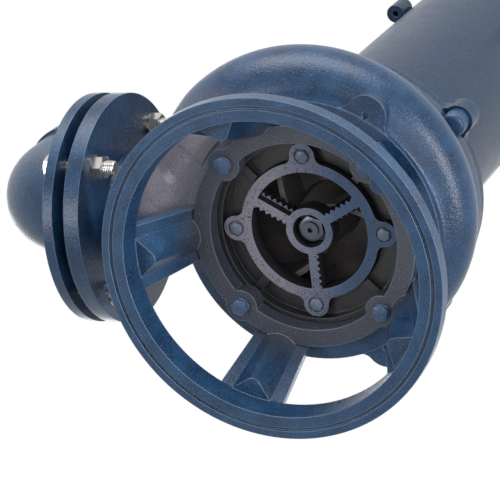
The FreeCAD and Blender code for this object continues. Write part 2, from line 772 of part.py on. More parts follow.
def make_volute_casing():
    """Spiral casing with its foot flange and ears, discharge neck and flange, and open top."""
    body = new_body("volute_casing")
    top_low = "volute_top_level - volute_top_thick"
    skirt_inner = "volute_top_radius - volute_skirt_wall"
    foot_top = STAND_TOP + " + volute_foot_thick"
    bulge_start = VOLUTE_FOOT_RADIUS + " - volute_bulge_inset"
    revolve(body, [
        ("0", STAND_TOP),
        (VOLUTE_FOOT_RADIUS, STAND_TOP),
        (VOLUTE_FOOT_RADIUS, foot_top),
        (bulge_start, foot_top + " + volute_bulge_inset", "volute_bulge_radius", -1),
        ("volute_top_radius", top_low),
        ("volute_top_radius", SKIRT_TOP),
        ("0", SKIRT_TOP),
    ])
    ears = new_sketch(body, "XY_Plane", shift="volute_ear_level")
    for angle in volute_ear_angles():
        add_circle(ears, "volute_ear_radius", *on_circle(VOLUTE_EAR_CIRCLE, angle))
    extrude(body, ears, "volute_ear_thick")
    for angle in volute_ear_angles():
        ear_web(body, "volute_ear_level", foot_top + " - volute_ear_level", VOLUTE_FOOT_RADIUS,
                VOLUTE_EAR_CIRCLE, "volute_ear_radius", angle)
    lug_low = SKIRT_TOP + " - motor_bolt_reach - overlap"
    lugs = new_sketch(body, "XY_Plane", shift=lug_low)
    for x, y in quarter_places(MOTOR_EAR_CIRCLE, "motor_ear_angle"):
        add_circle(lugs, "volute_lug_radius", x, y)
    extrude(body, lugs, "motor_bolt_reach + overlap")
    cross_disc(body, "flange_radius", "flange_back_x", "flange_thick", "discharge_y", "discharge_level")
    cross_disc(body, "flange_face_radius", FLANGE_FRONT, "flange_face_height",
               "discharge_y", "discharge_level")
    sections = passage_sections(body, "0", "flange_back_x + flange_thick / 2")
    tube = add_feature(body, "AdditiveLoft", sections[0])
    tube.Sections = sections[1:]
    tube.Ruled = True
    revolve(body, [
        ("0", STAND_TOP),
        ("stand_opening_radius", STAND_TOP),
        ("stand_opening_radius", "cover_ledge_level"),
        (COVER_LEDGE, "cover_ledge_level"),
        (COVER_LEDGE, "cover_top_level"),
        (CHAMBER_RADIUS, "cover_top_level"),
        (CHAMBER_RADIUS, HUB_TOP),
        (VOLUTE_TOP_OPENING, HUB_TOP),
        (VOLUTE_TOP_OPENING, "volute_top_level"),
        (skirt_inner, "volute_top_level"),
        (skirt_inner, SKIRT_TOP),
        ("0", SKIRT_TOP),
    ], cut=True)
    sections = passage_sections(body, "volute_wall", GASKET_X)
    passage = add_feature(body, "SubtractiveLoft", sections[0])
    passage.Sections = sections[1:]
    passage.Ruled = True
    holes = new_sketch(body, "XY_Plane", shift=STAND_TOP)
    for x, y in quarter_places(STAND_BOLT_CIRCLE, "stand_bolt_angle"):
        add_circle(holes, "stand_bolt_radius + thread_clearance", x, y)
    extrude(body, holes, "stand_bolt_reach + overlap", cut=True)
    lug_holes = new_sketch(body, "XY_Plane", shift=lug_low)
    for x, y in quarter_places(MOTOR_EAR_CIRCLE, "motor_ear_angle"):
        add_circle(lug_holes, "motor_bolt_radius + thread_clearance", x, y)
    extrude(body, lug_holes, "motor_bolt_reach + overlap", cut=True)
    flange_holes = new_sketch(body, "YZ_Plane", shift="flange_back_x")
    for y, z, angle in flange_places():
        add_circle(flange_holes, "flange_bolt_radius + bolt_clearance", y, z)
    extrude(body, flange_holes, "flange_thick", cut=True)
    dimples = new_sketch(body, "XY_Plane", shift="volute_ear_level")
    for angle in volute_ear_angles():
        add_circle(dimples, "volute_dimple_radius", *on_circle(VOLUTE_EAR_CIRCLE, angle))
    extrude(body, dimples, "volute_dimple_depth", cut=True)
    return body


def make_discharge_elbow():
    """Flanged bend from the discharge to an upright outlet with a lip."""
    body = new_body("discharge_elbow")
    cross_disc(body, "flange_face_radius", ELBOW_FACE_X, "flange_face_height",
               "discharge_y", "discharge_level")
    cross_disc(body, "flange_radius", ELBOW_FLANGE_X, "elbow_flange_thick",
               "discharge_y", "discharge_level")
    start_x = ELBOW_FACE_X
    bend_x = "(%s + elbow_stub)" % ELBOW_BACK_X
    riser_x = "(%s + elbow_bend_radius)" % bend_x
    bend_level = "(discharge_level + elbow_bend_radius)"
    spine = new_sketch(body, "XZ_Plane", shift="-discharge_y")
    run = spine.addGeometry(Part.LineSegment(
        FreeCAD.Vector(number(start_x), number("discharge_level"), 0),
        FreeCAD.Vector(number(bend_x), number("discharge_level"), 0)))
    centre = FreeCAD.Vector(number(bend_x), number(bend_level), 0)
    circle = Part.Circle(centre, FreeCAD.Vector(0, 0, 1), number("elbow_bend_radius"))
    bend = spine.addGeometry(Part.ArcOfCircle(circle, -math.pi / 2, 0))
    rise = spine.addGeometry(Part.LineSegment(
        FreeCAD.Vector(number(riser_x), number(bend_level), 0),
        FreeCAD.Vector(number(riser_x), number(bend_level + " + elbow_rise"), 0)))
    pin_point(spine, run, 1, start_x, "discharge_level")
    pin_point(spine, run, 2, bend_x, "discharge_level")
    spine.addConstraint(Sketcher.Constraint("Coincident", run, 2, bend, 1))
    pin_radius(spine, bend, "elbow_bend_radius")
    spine.addConstraint(Sketcher.Constraint("Coincident", bend, 2, rise, 1))
    pin_point(spine, rise, 1, riser_x, bend_level)
    pin_point(spine, rise, 2, riser_x, bend_level + " + elbow_rise")
    profile = new_sketch(body, "YZ_Plane", shift=start_x)
    add_circle(profile, "elbow_outer_radius", "discharge_y", "discharge_level")
    pipe = add_feature(body, "AdditivePipe", profile)
    pipe.Spine = (spine, [])
    lip = new_sketch(body, "XY_Plane", shift="%s + elbow_rise - elbow_lip_height" % bend_level)
    add_circle(lip, "elbow_lip_radius", riser_x, "discharge_y")
    extrude(body, lip, "elbow_lip_height")
    hollow = new_sketch(body, "YZ_Plane", shift=start_x)
    add_circle(hollow, "elbow_bore", "discharge_y", "discharge_level")
    bore = add_feature(body, "SubtractivePipe", hollow)
    bore.Spine = (spine, [])
    holes = new_sketch(body, "YZ_Plane", shift=ELBOW_FLANGE_X)
    for y, z, angle in flange_places():
        add_circle(holes, "flange_bolt_radius + bolt_clearance", y, z)
    extrude(body, holes, "elbow_flange_thick", cut=True)
    return body


def make_discharge_gasket():
    """Flat ring between the two raised faces."""
    body = new_body("discharge_gasket")
    sketch = new_sketch(body, "YZ_Plane", shift=GASKET_X)
    add_circle(sketch, "flange_face_radius", "discharge_y", "discharge_level")
    add_circle(sketch, "discharge_bore", "discharge_y", "discharge_level")
    extrude(body, sketch, "flange_gasket_thick")
    return body


def make_flange_bolts():
    """Bolts through both flanges, with their heads on the elbow's side."""
    body = new_body("flange_bolts")
    head_x = ELBOW_BACK_X + " + flange_washer_thick"
    tip_x = "flange_back_x - flange_washer_thick - flange_nut_height - flange_bolt_tail"
    for y, z, angle in flange_places():
        sketch = new_sketch(body, "YZ_Plane", shift=head_x)
        add_hexagon(sketch, "flange_bolt_flats", y, z, angle)
        extrude(body, sketch, "flange_bolt_head")
        cross_disc(body, "flange_bolt_radius", tip_x, "%s - (%s)" % (head_x, tip_x), y, z)
    return body


def make_flange_nuts():
    """Hexagon nuts on the pump's side of the discharge flange."""
    body = new_body("flange_nuts")
    for y, z, angle in flange_places():
        sketch = new_sketch(body, "YZ_Plane", shift="flange_back_x - flange_washer_thick - flange_nut_height")
        add_hexagon(sketch, "flange_bolt_flats", y, z, angle + " + flange_nut_turn")
        add_circle(sketch, "flange_bolt_radius + fit_gap", y, z)
        extrude(body, sketch, "flange_nut_height")
    return body


def make_flange_washers():
    """Washers under the nuts and under the heads."""
    body = new_body("flange_washers")
    for x in ("flange_back_x - flange_washer_thick", ELBOW_BACK_X):
        for y, z, angle in flange_places():
            sketch = new_sketch(body, "YZ_Plane", shift=x)
            add_circle(sketch, "flange_washer_radius", y, z)
            add_circle(sketch, "flange_bolt_radius + fit_gap", y, z)
            extrude(body, sketch, "flange_washer_thick")
    return body


def make_oil_chamber():
    """Cover over the impeller that holds the seals and the oil."""
    body = new_body("oil_chamber")
    floor_top = "oil_chamber_floor + oil_chamber_floor_thick"
    flange_low = "volute_top_level + paper_gasket"
    spigot = VOLUTE_TOP_OPENING + " - cover_fit"
    hub = "seal_seat_radius + oil_hub_wall"
    hub_top = "oil_chamber_floor + oil_hub_height"
    revolve(body, [
        ("seal_seat_radius", "oil_chamber_floor"),
        (spigot, "oil_chamber_floor"),
        (spigot, flange_low),
        (OIL_FLANGE_RADIUS, flange_low),
        (OIL_FLANGE_RADIUS, OIL_TOP),
        (OIL_SPACE_RADIUS, OIL_TOP),
        (OIL_SPACE_RADIUS, floor_top),
        (hub, floor_top),
        (hub, hub_top),
        ("seal_seat_radius", hub_top),
    ])
    return body


def make_motor_casing():
    """Smooth drum with a bolted flange and four ears at its foot."""
    body = new_body("motor_casing")
    flange_top = MOTOR_LOW + " + motor_flange_thick"
    seat_top = MOTOR_LOW + " + bracket_flange_thick"
    revolve(body, [
        (BRACKET_RADIUS, MOTOR_LOW),
        (MOTOR_FLANGE_RADIUS, MOTOR_LOW),
        (MOTOR_FLANGE_RADIUS, flange_top),
        ("motor_radius + motor_fillet", flange_top, "motor_fillet", 1),
        ("motor_radius", flange_top + " + motor_fillet"),
        ("motor_radius", "motor_top_level"),
        (MOTOR_BORE, "motor_top_level"),
        (MOTOR_BORE, seat_top),
        (BRACKET_RADIUS, seat_top),
    ])
    ear = disc(body, "motor_ear_radius", MOTOR_LOW, "motor_ear_thick", EAR_X, EAR_Y)
    web = ear_web(body, MOTOR_LOW, "motor_flange_thick", MOTOR_FLANGE_RADIUS, MOTOR_EAR_CIRCLE,
                  "motor_ear_radius", "motor_ear_angle")
    hole = disc(
        body, "motor_bolt_radius + bolt_clearance", MOTOR_LOW, "motor_ear_thick", EAR_X, EAR_Y, cut=True)
    pattern(body, [ear, web, hole], "motor_ear_count")
    ear_low = "motor_top_level - cover_ear_depth"
    top_ear = disc(body, "cover_ear_radius", ear_low, "cover_ear_depth", COVER_EAR_X, COVER_EAR_Y)
    top_hole = disc(
        body, "cover_screw_radius + thread_clearance", ear_low, "cover_ear_depth",
        COVER_EAR_X, COVER_EAR_Y, cut=True)
    pattern(body, [top_ear, top_hole], "cover_screw_count")
    return body


def make_motor_bolts():
    """Long bolts that clamp the motor and the oil chamber on the volute."""
    body = new_body("motor_bolts")
    seat = MOTOR_LOW + " + motor_ear_thick"
    tip = SKIRT_TOP + " - motor_bolt_reach"
    head = hexagon(body, "motor_bolt_flats", seat, "motor_bolt_head", EAR_X, EAR_Y)
    shank = disc(body, "motor_bolt_radius", tip, "%s - (%s)" % (seat, tip), EAR_X, EAR_Y)
    pattern(body, [head, shank], "motor_ear_count")
    return body


def make_bearing_bracket():
    """Disc in the motor's foot that holds the lower bearing and the upper seal seat."""
    body = new_body("bearing_bracket")
    flange_top = MOTOR_LOW + " + bracket_flange_thick"
    hub = "lower_bearing_outer + bracket_hub_wall"
    outer = BRACKET_RADIUS + " - cover_fit"
    bearing_seat = "lower_bearing_outer + fit_gap"
    revolve(body, [
        ("seal_seat_radius", MOTOR_LOW),
        (outer, MOTOR_LOW),
        (outer, flange_top),
        (hub, flange_top),
        (hub, LOWER_SHOULDER),
        (bearing_seat, LOWER_SHOULDER),
        (bearing_seat, LOWER_BEARING),
        ("seal_seat_radius", LOWER_BEARING),
    ])
    return body


def make_bearing(name, shaft, outer, low, width, ball, count):
    """Inner ring, outer ring and balls of a deep-groove bearing, as three pieces."""
    high = "%s + %s" % (low, width)
    middle = "%s + %s / 2" % (low, width)
    pitch = "(%s + %s) / 2" % (shaft, outer)
    wall = "bearing_ring_share * (%s - %s)" % (outer, shaft)
    groove = "(%s + fit_gap)" % ball
    half = "sqrt(%s ^ 2 - ((%s - %s) / 2 - %s) ^ 2)" % (groove, outer, shaft, wall)
    for part, bore, track in (
        ("inner", "%s + fit_gap / 2" % shaft, "%s + %s" % (shaft, wall)),
        ("outer", outer, "%s - %s" % (outer, wall)),
    ):
        ring = new_body("%s_bearing_%s" % (name, part))
        revolve(ring, [
            (bore, low),
            (track, low),
            (track, "%s - %s" % (middle, half), groove, 1 if part == "inner" else -1),
            (track, "%s + %s" % (middle, half)),
            (track, high),
            (bore, high),
        ])
    balls = new_body(name + "_bearing_balls")
    first = balls.newObject("PartDesign::AdditiveSphere", name + "_ball")
    first.AttachmentSupport = [(origin_plane(balls, "XY_Plane"), "")]
    first.MapMode = "FlatFace"
    first.setExpression("Radius", formula(ball))
    place = "placement(vector(%s; 0; %s); rotation(vector(0; 0; 1); 0))"
    first.setExpression("AttachmentOffset", place % (formula(pitch), formula(middle)))
    pattern(balls, [first], count)


def make_shaft():
    """Stepped shaft from the threaded tip to the upper bearing."""
    body = new_body("shaft")
    end = UPPER_BEARING_TOP + " - shaft_end_gap"
    revolve(body, [
        ("0", "shaft_tip_level + shaft_centre_depth"),
        ("shaft_centre_radius", "shaft_tip_level + shaft_centre_depth"),
        ("shaft_centre_radius", "shaft_tip_level"),
        ("shaft_thread_radius", "shaft_tip_level"),
        ("shaft_thread_radius", HUB_FRONT),
        ("shaft_nose_radius", HUB_FRONT),
        ("shaft_nose_radius", HUB_TOP),
        ("shaft_seal_radius", HUB_TOP),
        ("shaft_seal_radius", LOWER_BEARING),
        ("shaft_bearing_radius", LOWER_BEARING),
        ("shaft_bearing_radius", LOWER_SHOULDER),
        ("shaft_core_radius", LOWER_SHOULDER),
        ("shaft_core_radius", UPPER_SHOULDER),
        ("shaft_upper_radius", UPPER_SHOULDER),
        ("shaft_upper_radius", end),
        ("0", end),
    ])
    keyway = new_sketch(body, "XZ_Plane", shift="-impeller_key_width / 2")
    floor = "shaft_nose_radius - impeller_key_height"
    mouth = "shaft_nose_radius + overlap"
    key_high = KEY_LOW + " + impeller_key_length"
    add_outline(keyway, [(floor, KEY_LOW), (mouth, KEY_LOW), (mouth, key_high), (floor, key_high)])
    extrude(body, keyway, "impeller_key_width", cut=True)
    return body


def make_impeller_key():
    """Flat key between the shaft's nose and the impeller's hub."""
    body = new_body("impeller_key")
    sketch = new_sketch(body, "XZ_Plane", shift="-impeller_key_width / 2 + fit_gap")
    low = KEY_LOW + " + fit_gap"
    high = KEY_LOW + " + impeller_key_length - fit_gap"
    floor = "shaft_nose_radius - impeller_key_height + fit_gap"
    top = "shaft_nose_radius + impeller_key_height - fit_gap"
    add_outline(sketch, [(floor, low), (top, low), (top, high), (floor, high)])
    extrude(body, sketch, "impeller_key_width - 2 * fit_gap")
    return body


def make_impeller():
    """Semi-open impeller with three backward-curved vanes under its back plate."""
    body = new_body("impeller")
    back_top = "impeller_back_level + impeller_back_thick"
    radius = "(%s - impeller_inset)" % CHAMBER_RADIUS
    bore = "shaft_nose_radius + fit_gap"
    revolve(body, [
        (bore, HUB_FRONT),
        ("impeller_hub_radius", HUB_FRONT),
        ("impeller_hub_radius + impeller_hub_flare", "impeller_back_level"),
        (radius, "impeller_back_level"),
        (radius, back_top),
        ("impeller_hub_radius", back_top),
        ("impeller_hub_radius", HUB_TOP),
        (bore, HUB_TOP),
    ])
    root = "(impeller_hub_radius - 2 * overlap)"
    tip = "(%s - impeller_vane_trim)" % radius
    width = "impeller_vane_thick"
    sketch = new_sketch(body, "XY_Plane", shift=HUB_FRONT)
    turn = "impeller_vane_wrap"
    tip_turn = "(%s + %s / %s * 180 / pi)" % (turn, width, tip)
    root_turn = "(%s / %s * 120 / pi)" % (width, root)
    add_outline(sketch, [
        (*on_circle(root, "-" + root_turn), "impeller_vane_bend", -1),
        on_circle(tip, turn),
        (*on_circle(tip, tip_turn), "impeller_vane_bend - impeller_vane_thick", 1),
        on_circle(root, root_turn),
    ])
    vane = extrude(body, sketch, "impeller_back_level - %s + overlap" % HUB_FRONT)
    pattern(body, [vane], "impeller_vane_count")
    revolve(body, [("0", HUB_FRONT), (bore, HUB_FRONT), (bore, HUB_TOP), ("0", HUB_TOP)], cut=True)
    slot = new_sketch(body, "XZ_Plane", shift="-impeller_key_width / 2")
    high = KEY_LOW + " + impeller_key_length"
    floor = "shaft_nose_radius - overlap"
    top = "shaft_nose_radius + impeller_key_height"
    add_outline(slot, [(floor, KEY_LOW), (top, KEY_LOW), (top, high), (floor, high)])
    extrude(body, slot, "impeller_key_width", cut=True)
    return body


def make_impeller_nut():
    """Hexagon nut on the shaft's tip."""
    body = new_body("impeller_nut")
    low = HUB_FRONT + " - impeller_washer_thick - impeller_nut_height"
    sketch = new_sketch(body, "XY_Plane", shift=low)
    add_hexagon(sketch, "impeller_nut_flats", turn="impeller_nut_turn")
    add_circle(sketch, "shaft_thread_radius + fit_gap")
    extrude(body, sketch, "impeller_nut_height")
    return body


def make_top_cover():
    """Lid on the motor with the upper bearing's seat under it and a flat roof."""
    body = new_body("top_cover")
    spigot = MOTOR_BORE + " - cover_fit"
    seat = "upper_bearing_outer + fit_gap"
    shoulder_top = "motor_top_level + cover_plate_thick"
    revolve(body, [
        (seat, UPPER_SHOULDER),
        (seat + " + bearing_seat_wall", UPPER_SHOULDER),
        (seat + " + bearing_seat_wall", UPPER_BEARING_TOP),
        (spigot, UPPER_BEARING_TOP),
        (spigot, "motor_top_level"),
        ("motor_radius", "motor_top_level"),
        ("motor_radius", shoulder_top, "cover_dome_radius", -1),
        (CAP_RADIUS, CAP_TOP),
        ("0", CAP_TOP),
        ("0", CAP_TOP + " - cover_roof_thick"),
        (seat, CAP_TOP + " - cover_roof_thick"),
    ])
    ear = disc(body, "cover_ear_radius", "motor_top_level", "cover_plate_thick", COVER_EAR_X, COVER_EAR_Y)
    hole = disc(
        body, "cover_screw_radius + bolt_clearance", "motor_top_level", "cover_plate_thick",
        COVER_EAR_X, COVER_EAR_Y, cut=True)
    pattern(body, [ear, hole], "cover_screw_count")
    for side in ("-", ""):
        disc(body, "handle_bolt_radius + thread_clearance",
             CAP_TOP + " - handle_bolt_length + handle_tab_thick - overlap",
             "handle_bolt_length - handle_tab_thick + overlap", "0", side + HANDLE_BOLT, cut=True)
    disc(body, "gland_thread_radius + fit_gap", CAP_TOP + " - cover_roof_thick", "cover_roof_thick",
         "gland_x", "0", cut=True)
    return body


def make_cover_screws():
    """Cap screws through the lid's ears."""
    body = new_body("cover_screws")
    seat = "motor_top_level + cover_plate_thick"
    head = disc(body, "cover_screw_head_radius", seat, "cover_screw_head", COVER_EAR_X, COVER_EAR_Y)
    shank = disc(
        body, "cover_screw_radius", seat + " - cover_screw_length", "cover_screw_length",
        COVER_EAR_X, COVER_EAR_Y)
    pattern(body, [head, shank], "cover_screw_count")
    return body


def make_lifting_handle():
    """Bent round bar on two bolted tabs."""
    body = new_body("lifting_handle")
    low = CAP_TOP
    crown = "(%s + handle_rise)" % CAP_TOP
    knee = "(%s - handle_bend)" % crown
    spine = new_sketch(body, "YZ_Plane")
    half = HANDLE_BAR
    corner = "(%s - handle_bend)" % HANDLE_BAR
    start = low + " + overlap"
    left = spine.addGeometry(Part.LineSegment(
        FreeCAD.Vector(-number(half), number(start), 0), FreeCAD.Vector(-number(half), number(knee), 0)))
    left_circle = Part.Circle(
        FreeCAD.Vector(-number(corner), number(knee), 0), FreeCAD.Vector(0, 0, 1), number("handle_bend"))
    left_bend = spine.addGeometry(Part.ArcOfCircle(left_circle, math.pi / 2, math.pi))
    bar = spine.addGeometry(Part.LineSegment(
        FreeCAD.Vector(-number(corner), number(crown), 0), FreeCAD.Vector(number(corner), number(crown), 0)))
    right_circle = Part.Circle(
        FreeCAD.Vector(number(corner), number(knee), 0), FreeCAD.Vector(0, 0, 1), number("handle_bend"))
    right_bend = spine.addGeometry(Part.ArcOfCircle(right_circle, 0, math.pi / 2))
    right = spine.addGeometry(Part.LineSegment(
        FreeCAD.Vector(number(half), number(knee), 0), FreeCAD.Vector(number(half), number(start), 0)))
    pin_point(spine, left, 1, "-" + half, start)
    pin_point(spine, left, 2, "-" + half, knee)
    spine.addConstraint(Sketcher.Constraint("Coincident", left, 2, left_bend, 2))
    pin_radius(spine, left_bend, "handle_bend")
    spine.addConstraint(Sketcher.Constraint("Coincident", left_bend, 1, bar, 1))
    pin_point(spine, bar, 1, "-" + corner, crown)
    pin_point(spine, bar, 2, corner, crown)
    spine.addConstraint(Sketcher.Constraint("Coincident", bar, 2, right_bend, 2))
    pin_radius(spine, right_bend, "handle_bend")
    spine.addConstraint(Sketcher.Constraint("Coincident", right_bend, 1, right, 1))
    pin_point(spine, right, 1, half, knee)
    pin_point(spine, right, 2, half, start)
    profile = new_sketch(body, "XY_Plane", shift=start)
    add_circle(profile, "handle_bar_radius", "0", "-" + half)
    pipe = add_feature(body, "AdditivePipe", profile)
    pipe.Spine = (spine, [])
    width = "handle_tab_half"
    inner = "(%s - handle_tab_length)" % HANDLE_TAB_OUTER
    for side in ("-", ""):
        tab = new_sketch(body, "XY_Plane", shift=low)
        corners = [
            ("-" + width, side + inner),
            (width, side + inner),
            (width, side + HANDLE_TAB_OUTER),
            ("-" + width, side + HANDLE_TAB_OUTER),
        ]
        add_outline(tab, corners)
        extrude(body, tab, "handle_tab_thick")
        disc(body, "handle_bolt_radius + bolt_clearance", low, "handle_tab_thick",
             "0", side + HANDLE_BOLT, cut=True)
    return body


def make_handle_bolts():
    """Bolts through the handle's tabs."""
    body = new_body("handle_bolts")
    seat = CAP_TOP + " + handle_tab_thick"
    for side in ("-", ""):
        place = side + HANDLE_BOLT
        hexagon(body, "handle_bolt_flats", seat, "handle_bolt_head", "0", place)
        disc(body, "handle_bolt_radius", seat + " - handle_bolt_length", "handle_bolt_length", "0", place)
    return body


def make_gland():
    """Cable gland in the roof: threaded body, rubber grommet and pressing nut."""
    body = new_body("gland_body")
    disc(body, "gland_thread_radius", CAP_TOP + " - gland_thread_depth", "gland_thread_depth", "gland_x", "0")
    disc(body, "gland_body_radius", CAP_TOP, "gland_body_height", "gland_x", "0")
    disc(body, "gland_bore", CAP_TOP + " - gland_thread_depth", "gland_thread_depth + gland_body_height",
         "gland_x", "0", cut=True)
    rim = CAP_TOP + " + gland_body_height"
    nut = new_body("gland_nut")
    hexagon(nut, "gland_nut_flats", rim, "gland_nut_height", "gland_x", "0")
    disc(nut, "gland_bore", rim, "gland_nut_height", "gland_x", "0", cut=True)
    grommet = new_body("gland_grommet")
    sketch = new_sketch(grommet, "XY_Plane", shift=CAP_TOP)
    add_circle(sketch, "gland_bore - fit_gap", "gland_x", "0")
    add_circle(sketch, "gland_cable_hole", "gland_x", "0")
    extrude(grommet, sketch, "gland_body_height + gland_nut_height + gland_grommet_rise")


make_base_stand()
make_base_bolts()
make_suction_cover()
make_cutter_plate()
make_cutter_screws()
make_volute_casing()
make_discharge_gasket()
make_discharge_elbow()
make_flange_bolts()
make_flange_nuts()
make_flange_washers()
ring_piece("volute_gasket", VOLUTE_TOP_OPENING + " + overlap", OIL_FLANGE_RADIUS,
           "volute_top_level", "volute_top_level + paper_gasket")
make_oil_chamber()
ring_piece("oil_gasket", OIL_SPACE_RADIUS, OIL_FLANGE_RADIUS, OIL_TOP, MOTOR_LOW)
ring_piece("lower_seal_seat", "shaft_seal_radius + seal_bore_gap", "seal_seat_radius - fit_gap",
           SEAT_LOW, SEAT_HIGH)
ring_piece("lower_seal_head", "shaft_seal_radius + fit_gap / 2", "seal_head_radius",
           LOWER_HEAD_LOW, LOWER_HEAD_HIGH)
ring_piece("seal_spring", "shaft_seal_radius + seal_spring_gap",
           "shaft_seal_radius + seal_spring_gap + seal_spring_width", LOWER_HEAD_HIGH, UPPER_HEAD_LOW)
ring_piece("upper_seal_head", "shaft_seal_radius + fit_gap / 2", "seal_head_radius",
           UPPER_HEAD_LOW, UPPER_HEAD_HIGH)
ring_piece("upper_seal_seat", "shaft_seal_radius + seal_bore_gap", "seal_seat_radius - fit_gap",
           MOTOR_LOW, MOTOR_LOW + " + bracket_lip - seal_seat_lift")
make_bearing_bracket()
make_bearing("lower", "shaft_bearing_radius", "lower_bearing_outer", LOWER_BEARING,
             "lower_bearing_width", "lower_ball_radius", "lower_ball_count")
make_bearing("upper", "shaft_upper_radius", "upper_bearing_outer", UPPER_SHOULDER,
             "upper_bearing_width", "upper_ball_radius", "upper_ball_count")
make_shaft()
make_impeller()
make_impeller_key()
ring_piece("impeller_washer", "shaft_thread_radius + fit_gap", "impeller_washer_radius",
           HUB_FRONT + " - impeller_washer_thick", HUB_FRONT)
make_impeller_nut()
ring_piece("rotor_core", "shaft_core_radius + fit_gap / 2", ROTOR_RADIUS, "stator_low_level", STATOR_TOP)
ring_piece("rotor_lower_ring", "rotor_ring_inner", ROTOR_RADIUS + " - rotor_ring_step",
           "stator_low_level - rotor_ring_height", "stator_low_level")
ring_piece("rotor_upper_ring", "rotor_ring_inner", ROTOR_RADIUS + " - rotor_ring_step",
           STATOR_TOP, STATOR_TOP + " + rotor_ring_height")
ring_piece("stator_core", "stator_bore", MOTOR_BORE + " - fit_gap", "stator_low_level", STATOR_TOP)
winding = ("stator_bore + winding_gap", MOTOR_BORE + " - winding_inset")
ring_piece("lower_winding", *winding, "stator_low_level - winding_height", "stator_low_level")
ring_piece("upper_winding", *winding, STATOR_TOP, STATOR_TOP + " + winding_height")
make_motor_casing()
make_motor_bolts()
make_top_cover()
make_cover_screws()
make_lifting_handle()
make_handle_bolts()
make_gland()

doc.recompute()

# Every feature must have worked before anything is written.
for item in doc.Objects:
    faults = [state for state in item.State if state in ("Invalid", "Error")]
    if faults:
        raise RuntimeError("%s is %s" % (item.Name, faults))

bodies = [item for item in doc.Objects if item.isDerivedFrom("PartDesign::Body")]
for body in bodies:
    if body.Shape.isNull() or not body.Shape.isValid():
        raise RuntimeError("%s has no valid shape" % body.Label)

os.makedirs("parts", exist_ok=True)
for body in bodies:
    body.Shape.exportStep("parts/%s.step" % body.Label)
    print(body.Label, len(body.Shape.Solids), round(body.Shape.Volume))
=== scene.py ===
"""Looks of a submersible sewage pump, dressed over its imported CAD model.

Lengths are in millimetres and become metres where a mesh is made. The stage and its lamps are in metres, and
angles are in degrees.
"""

import bmesh
import bpy
import numpy as np
from mathutils import Matrix, Vector


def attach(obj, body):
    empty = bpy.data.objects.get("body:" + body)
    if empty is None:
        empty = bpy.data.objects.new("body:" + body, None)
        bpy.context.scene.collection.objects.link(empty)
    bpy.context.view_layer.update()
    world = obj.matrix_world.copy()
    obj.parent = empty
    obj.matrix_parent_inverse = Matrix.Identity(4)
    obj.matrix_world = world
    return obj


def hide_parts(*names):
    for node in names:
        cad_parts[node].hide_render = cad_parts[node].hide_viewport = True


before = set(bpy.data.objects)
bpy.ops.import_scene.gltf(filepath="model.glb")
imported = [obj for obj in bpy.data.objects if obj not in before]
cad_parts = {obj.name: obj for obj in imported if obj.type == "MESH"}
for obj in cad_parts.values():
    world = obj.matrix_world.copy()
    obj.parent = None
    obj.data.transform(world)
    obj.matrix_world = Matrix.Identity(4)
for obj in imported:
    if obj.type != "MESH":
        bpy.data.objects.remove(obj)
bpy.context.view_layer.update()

MM = 0.001
UP = (0, 0, 1)
DOWN = (0, 0, -1)
OUTLET = (1, 0, 0)
INLET = (-1, 0, 0)

# Fasteners at the CAD's places. The stand's heads are nearer to the photograph than the CAD's, which are 16
# across flats
STAND_BOLT = {"circle": 88.5, "angle": 45, "level": 77, "flats": 13, "height": 5.5}
CUTTER_SCREW = {"circle": 65.5, "angle": 1, "level": 95, "flats": 10, "height": 4}
MOTOR_BOLT = {"circle": 122.5, "angle": 58, "level": 210, "flats": 16, "height": 6.4}
HANDLE_BOLT = {"place": 59, "level": 586, "flats": 13, "height": 5.3, "turn": 12}
COVER_SCREW = {"circle": 92, "angle": 45, "level": 552, "radius": 5, "height": 5, "key": 5, "rim": 0.6}
IMPELLER_NUT = {"level": 108, "flats": 21, "height": 11, "bore": 7.1, "turn": 10}
GLAND_NUT = {"x": -42, "level": 598, "flats": 34, "height": 14, "bore": 9}
FLANGE_BOLT = {
    "circle": 80, "angle": 45, "flats": 18, "height": 7.5, "radius": 6, "pitch": 1.75, "thread": 24}
FLANGE_CENTRE = (11, 109.3)
FLANGE_BACK = 169.6
FLANGE_NUT_HEIGHT = 10
FLANGE_WASHER = 2
FLANGE_TAIL = 9
ELBOW_BACK = 202.9

# How far a washer face stands out past the flats, and how high it is
WASHER_LIP = 0.6
WASHER_FACE = 1.2
CUTTER_WASHER_FACE = 0.6

# A hexagon's end is turned off by a cone, from a circle that is this share of the flats
TURNED_SHARE = 0.95
TURNED_SLOPE = np.tan(np.radians(30))

# A thread is this share of its pitch deep, and drawn in this many rows to a pitch
THREAD_DEPTH = 0.6
THREAD_ROWS = 12

# Points round a turned piece, a socket screw's head and a threaded rod
ROUND = 72
SCREW_ROUND = 48
ROD_ROUND = 40

# The lugs of the cutter plate and how their fillets are drawn: points along the arc, and the place of the
# corner inside the ring, as a depth and as a share of the angle to the fillet's centre
CUTTER_LUG = {"ring": 60.5, "circle": 65.5, "radius": 11, "fillet": 7, "front": 93.15, "back": 96.5}
FILLET_POINTS = 17
FILLET_ROOT = {"depth": 2, "share": 0.35}

# The radius of the ring that stands for a point on an axis
POLE = 0.01
# Points closer than this are one, which closes seams and the rings at poles
WELD = 0.025
# Edges sharper than this angle stay crisp
CRISP_ANGLE = 35

# The lower end of a casing's lug: its level, and its outline as radius and height
LUG_END_LEVEL = 173.2
LUG_END = ((POLE, 0), (6.5, 0), (8.6, 0.7), (10, 2.1), (10.6, 4.2), (POLE, 4.2))

# The spiral passage: its level, start and sweep round the motor's axis, and its circle's path and radius as a
# value and a growth over the sweep. Past the end it shrinks away, from a share of the sweep over a second one
SCROLL_LEVEL = 130
SCROLL_START = -35
SCROLL_SWEEP = 280
SCROLL_PATH = (94.5, 20)
SCROLL_TUBE = (14.5, 26)
SCROLL_FADE = (1.04, 0.08)

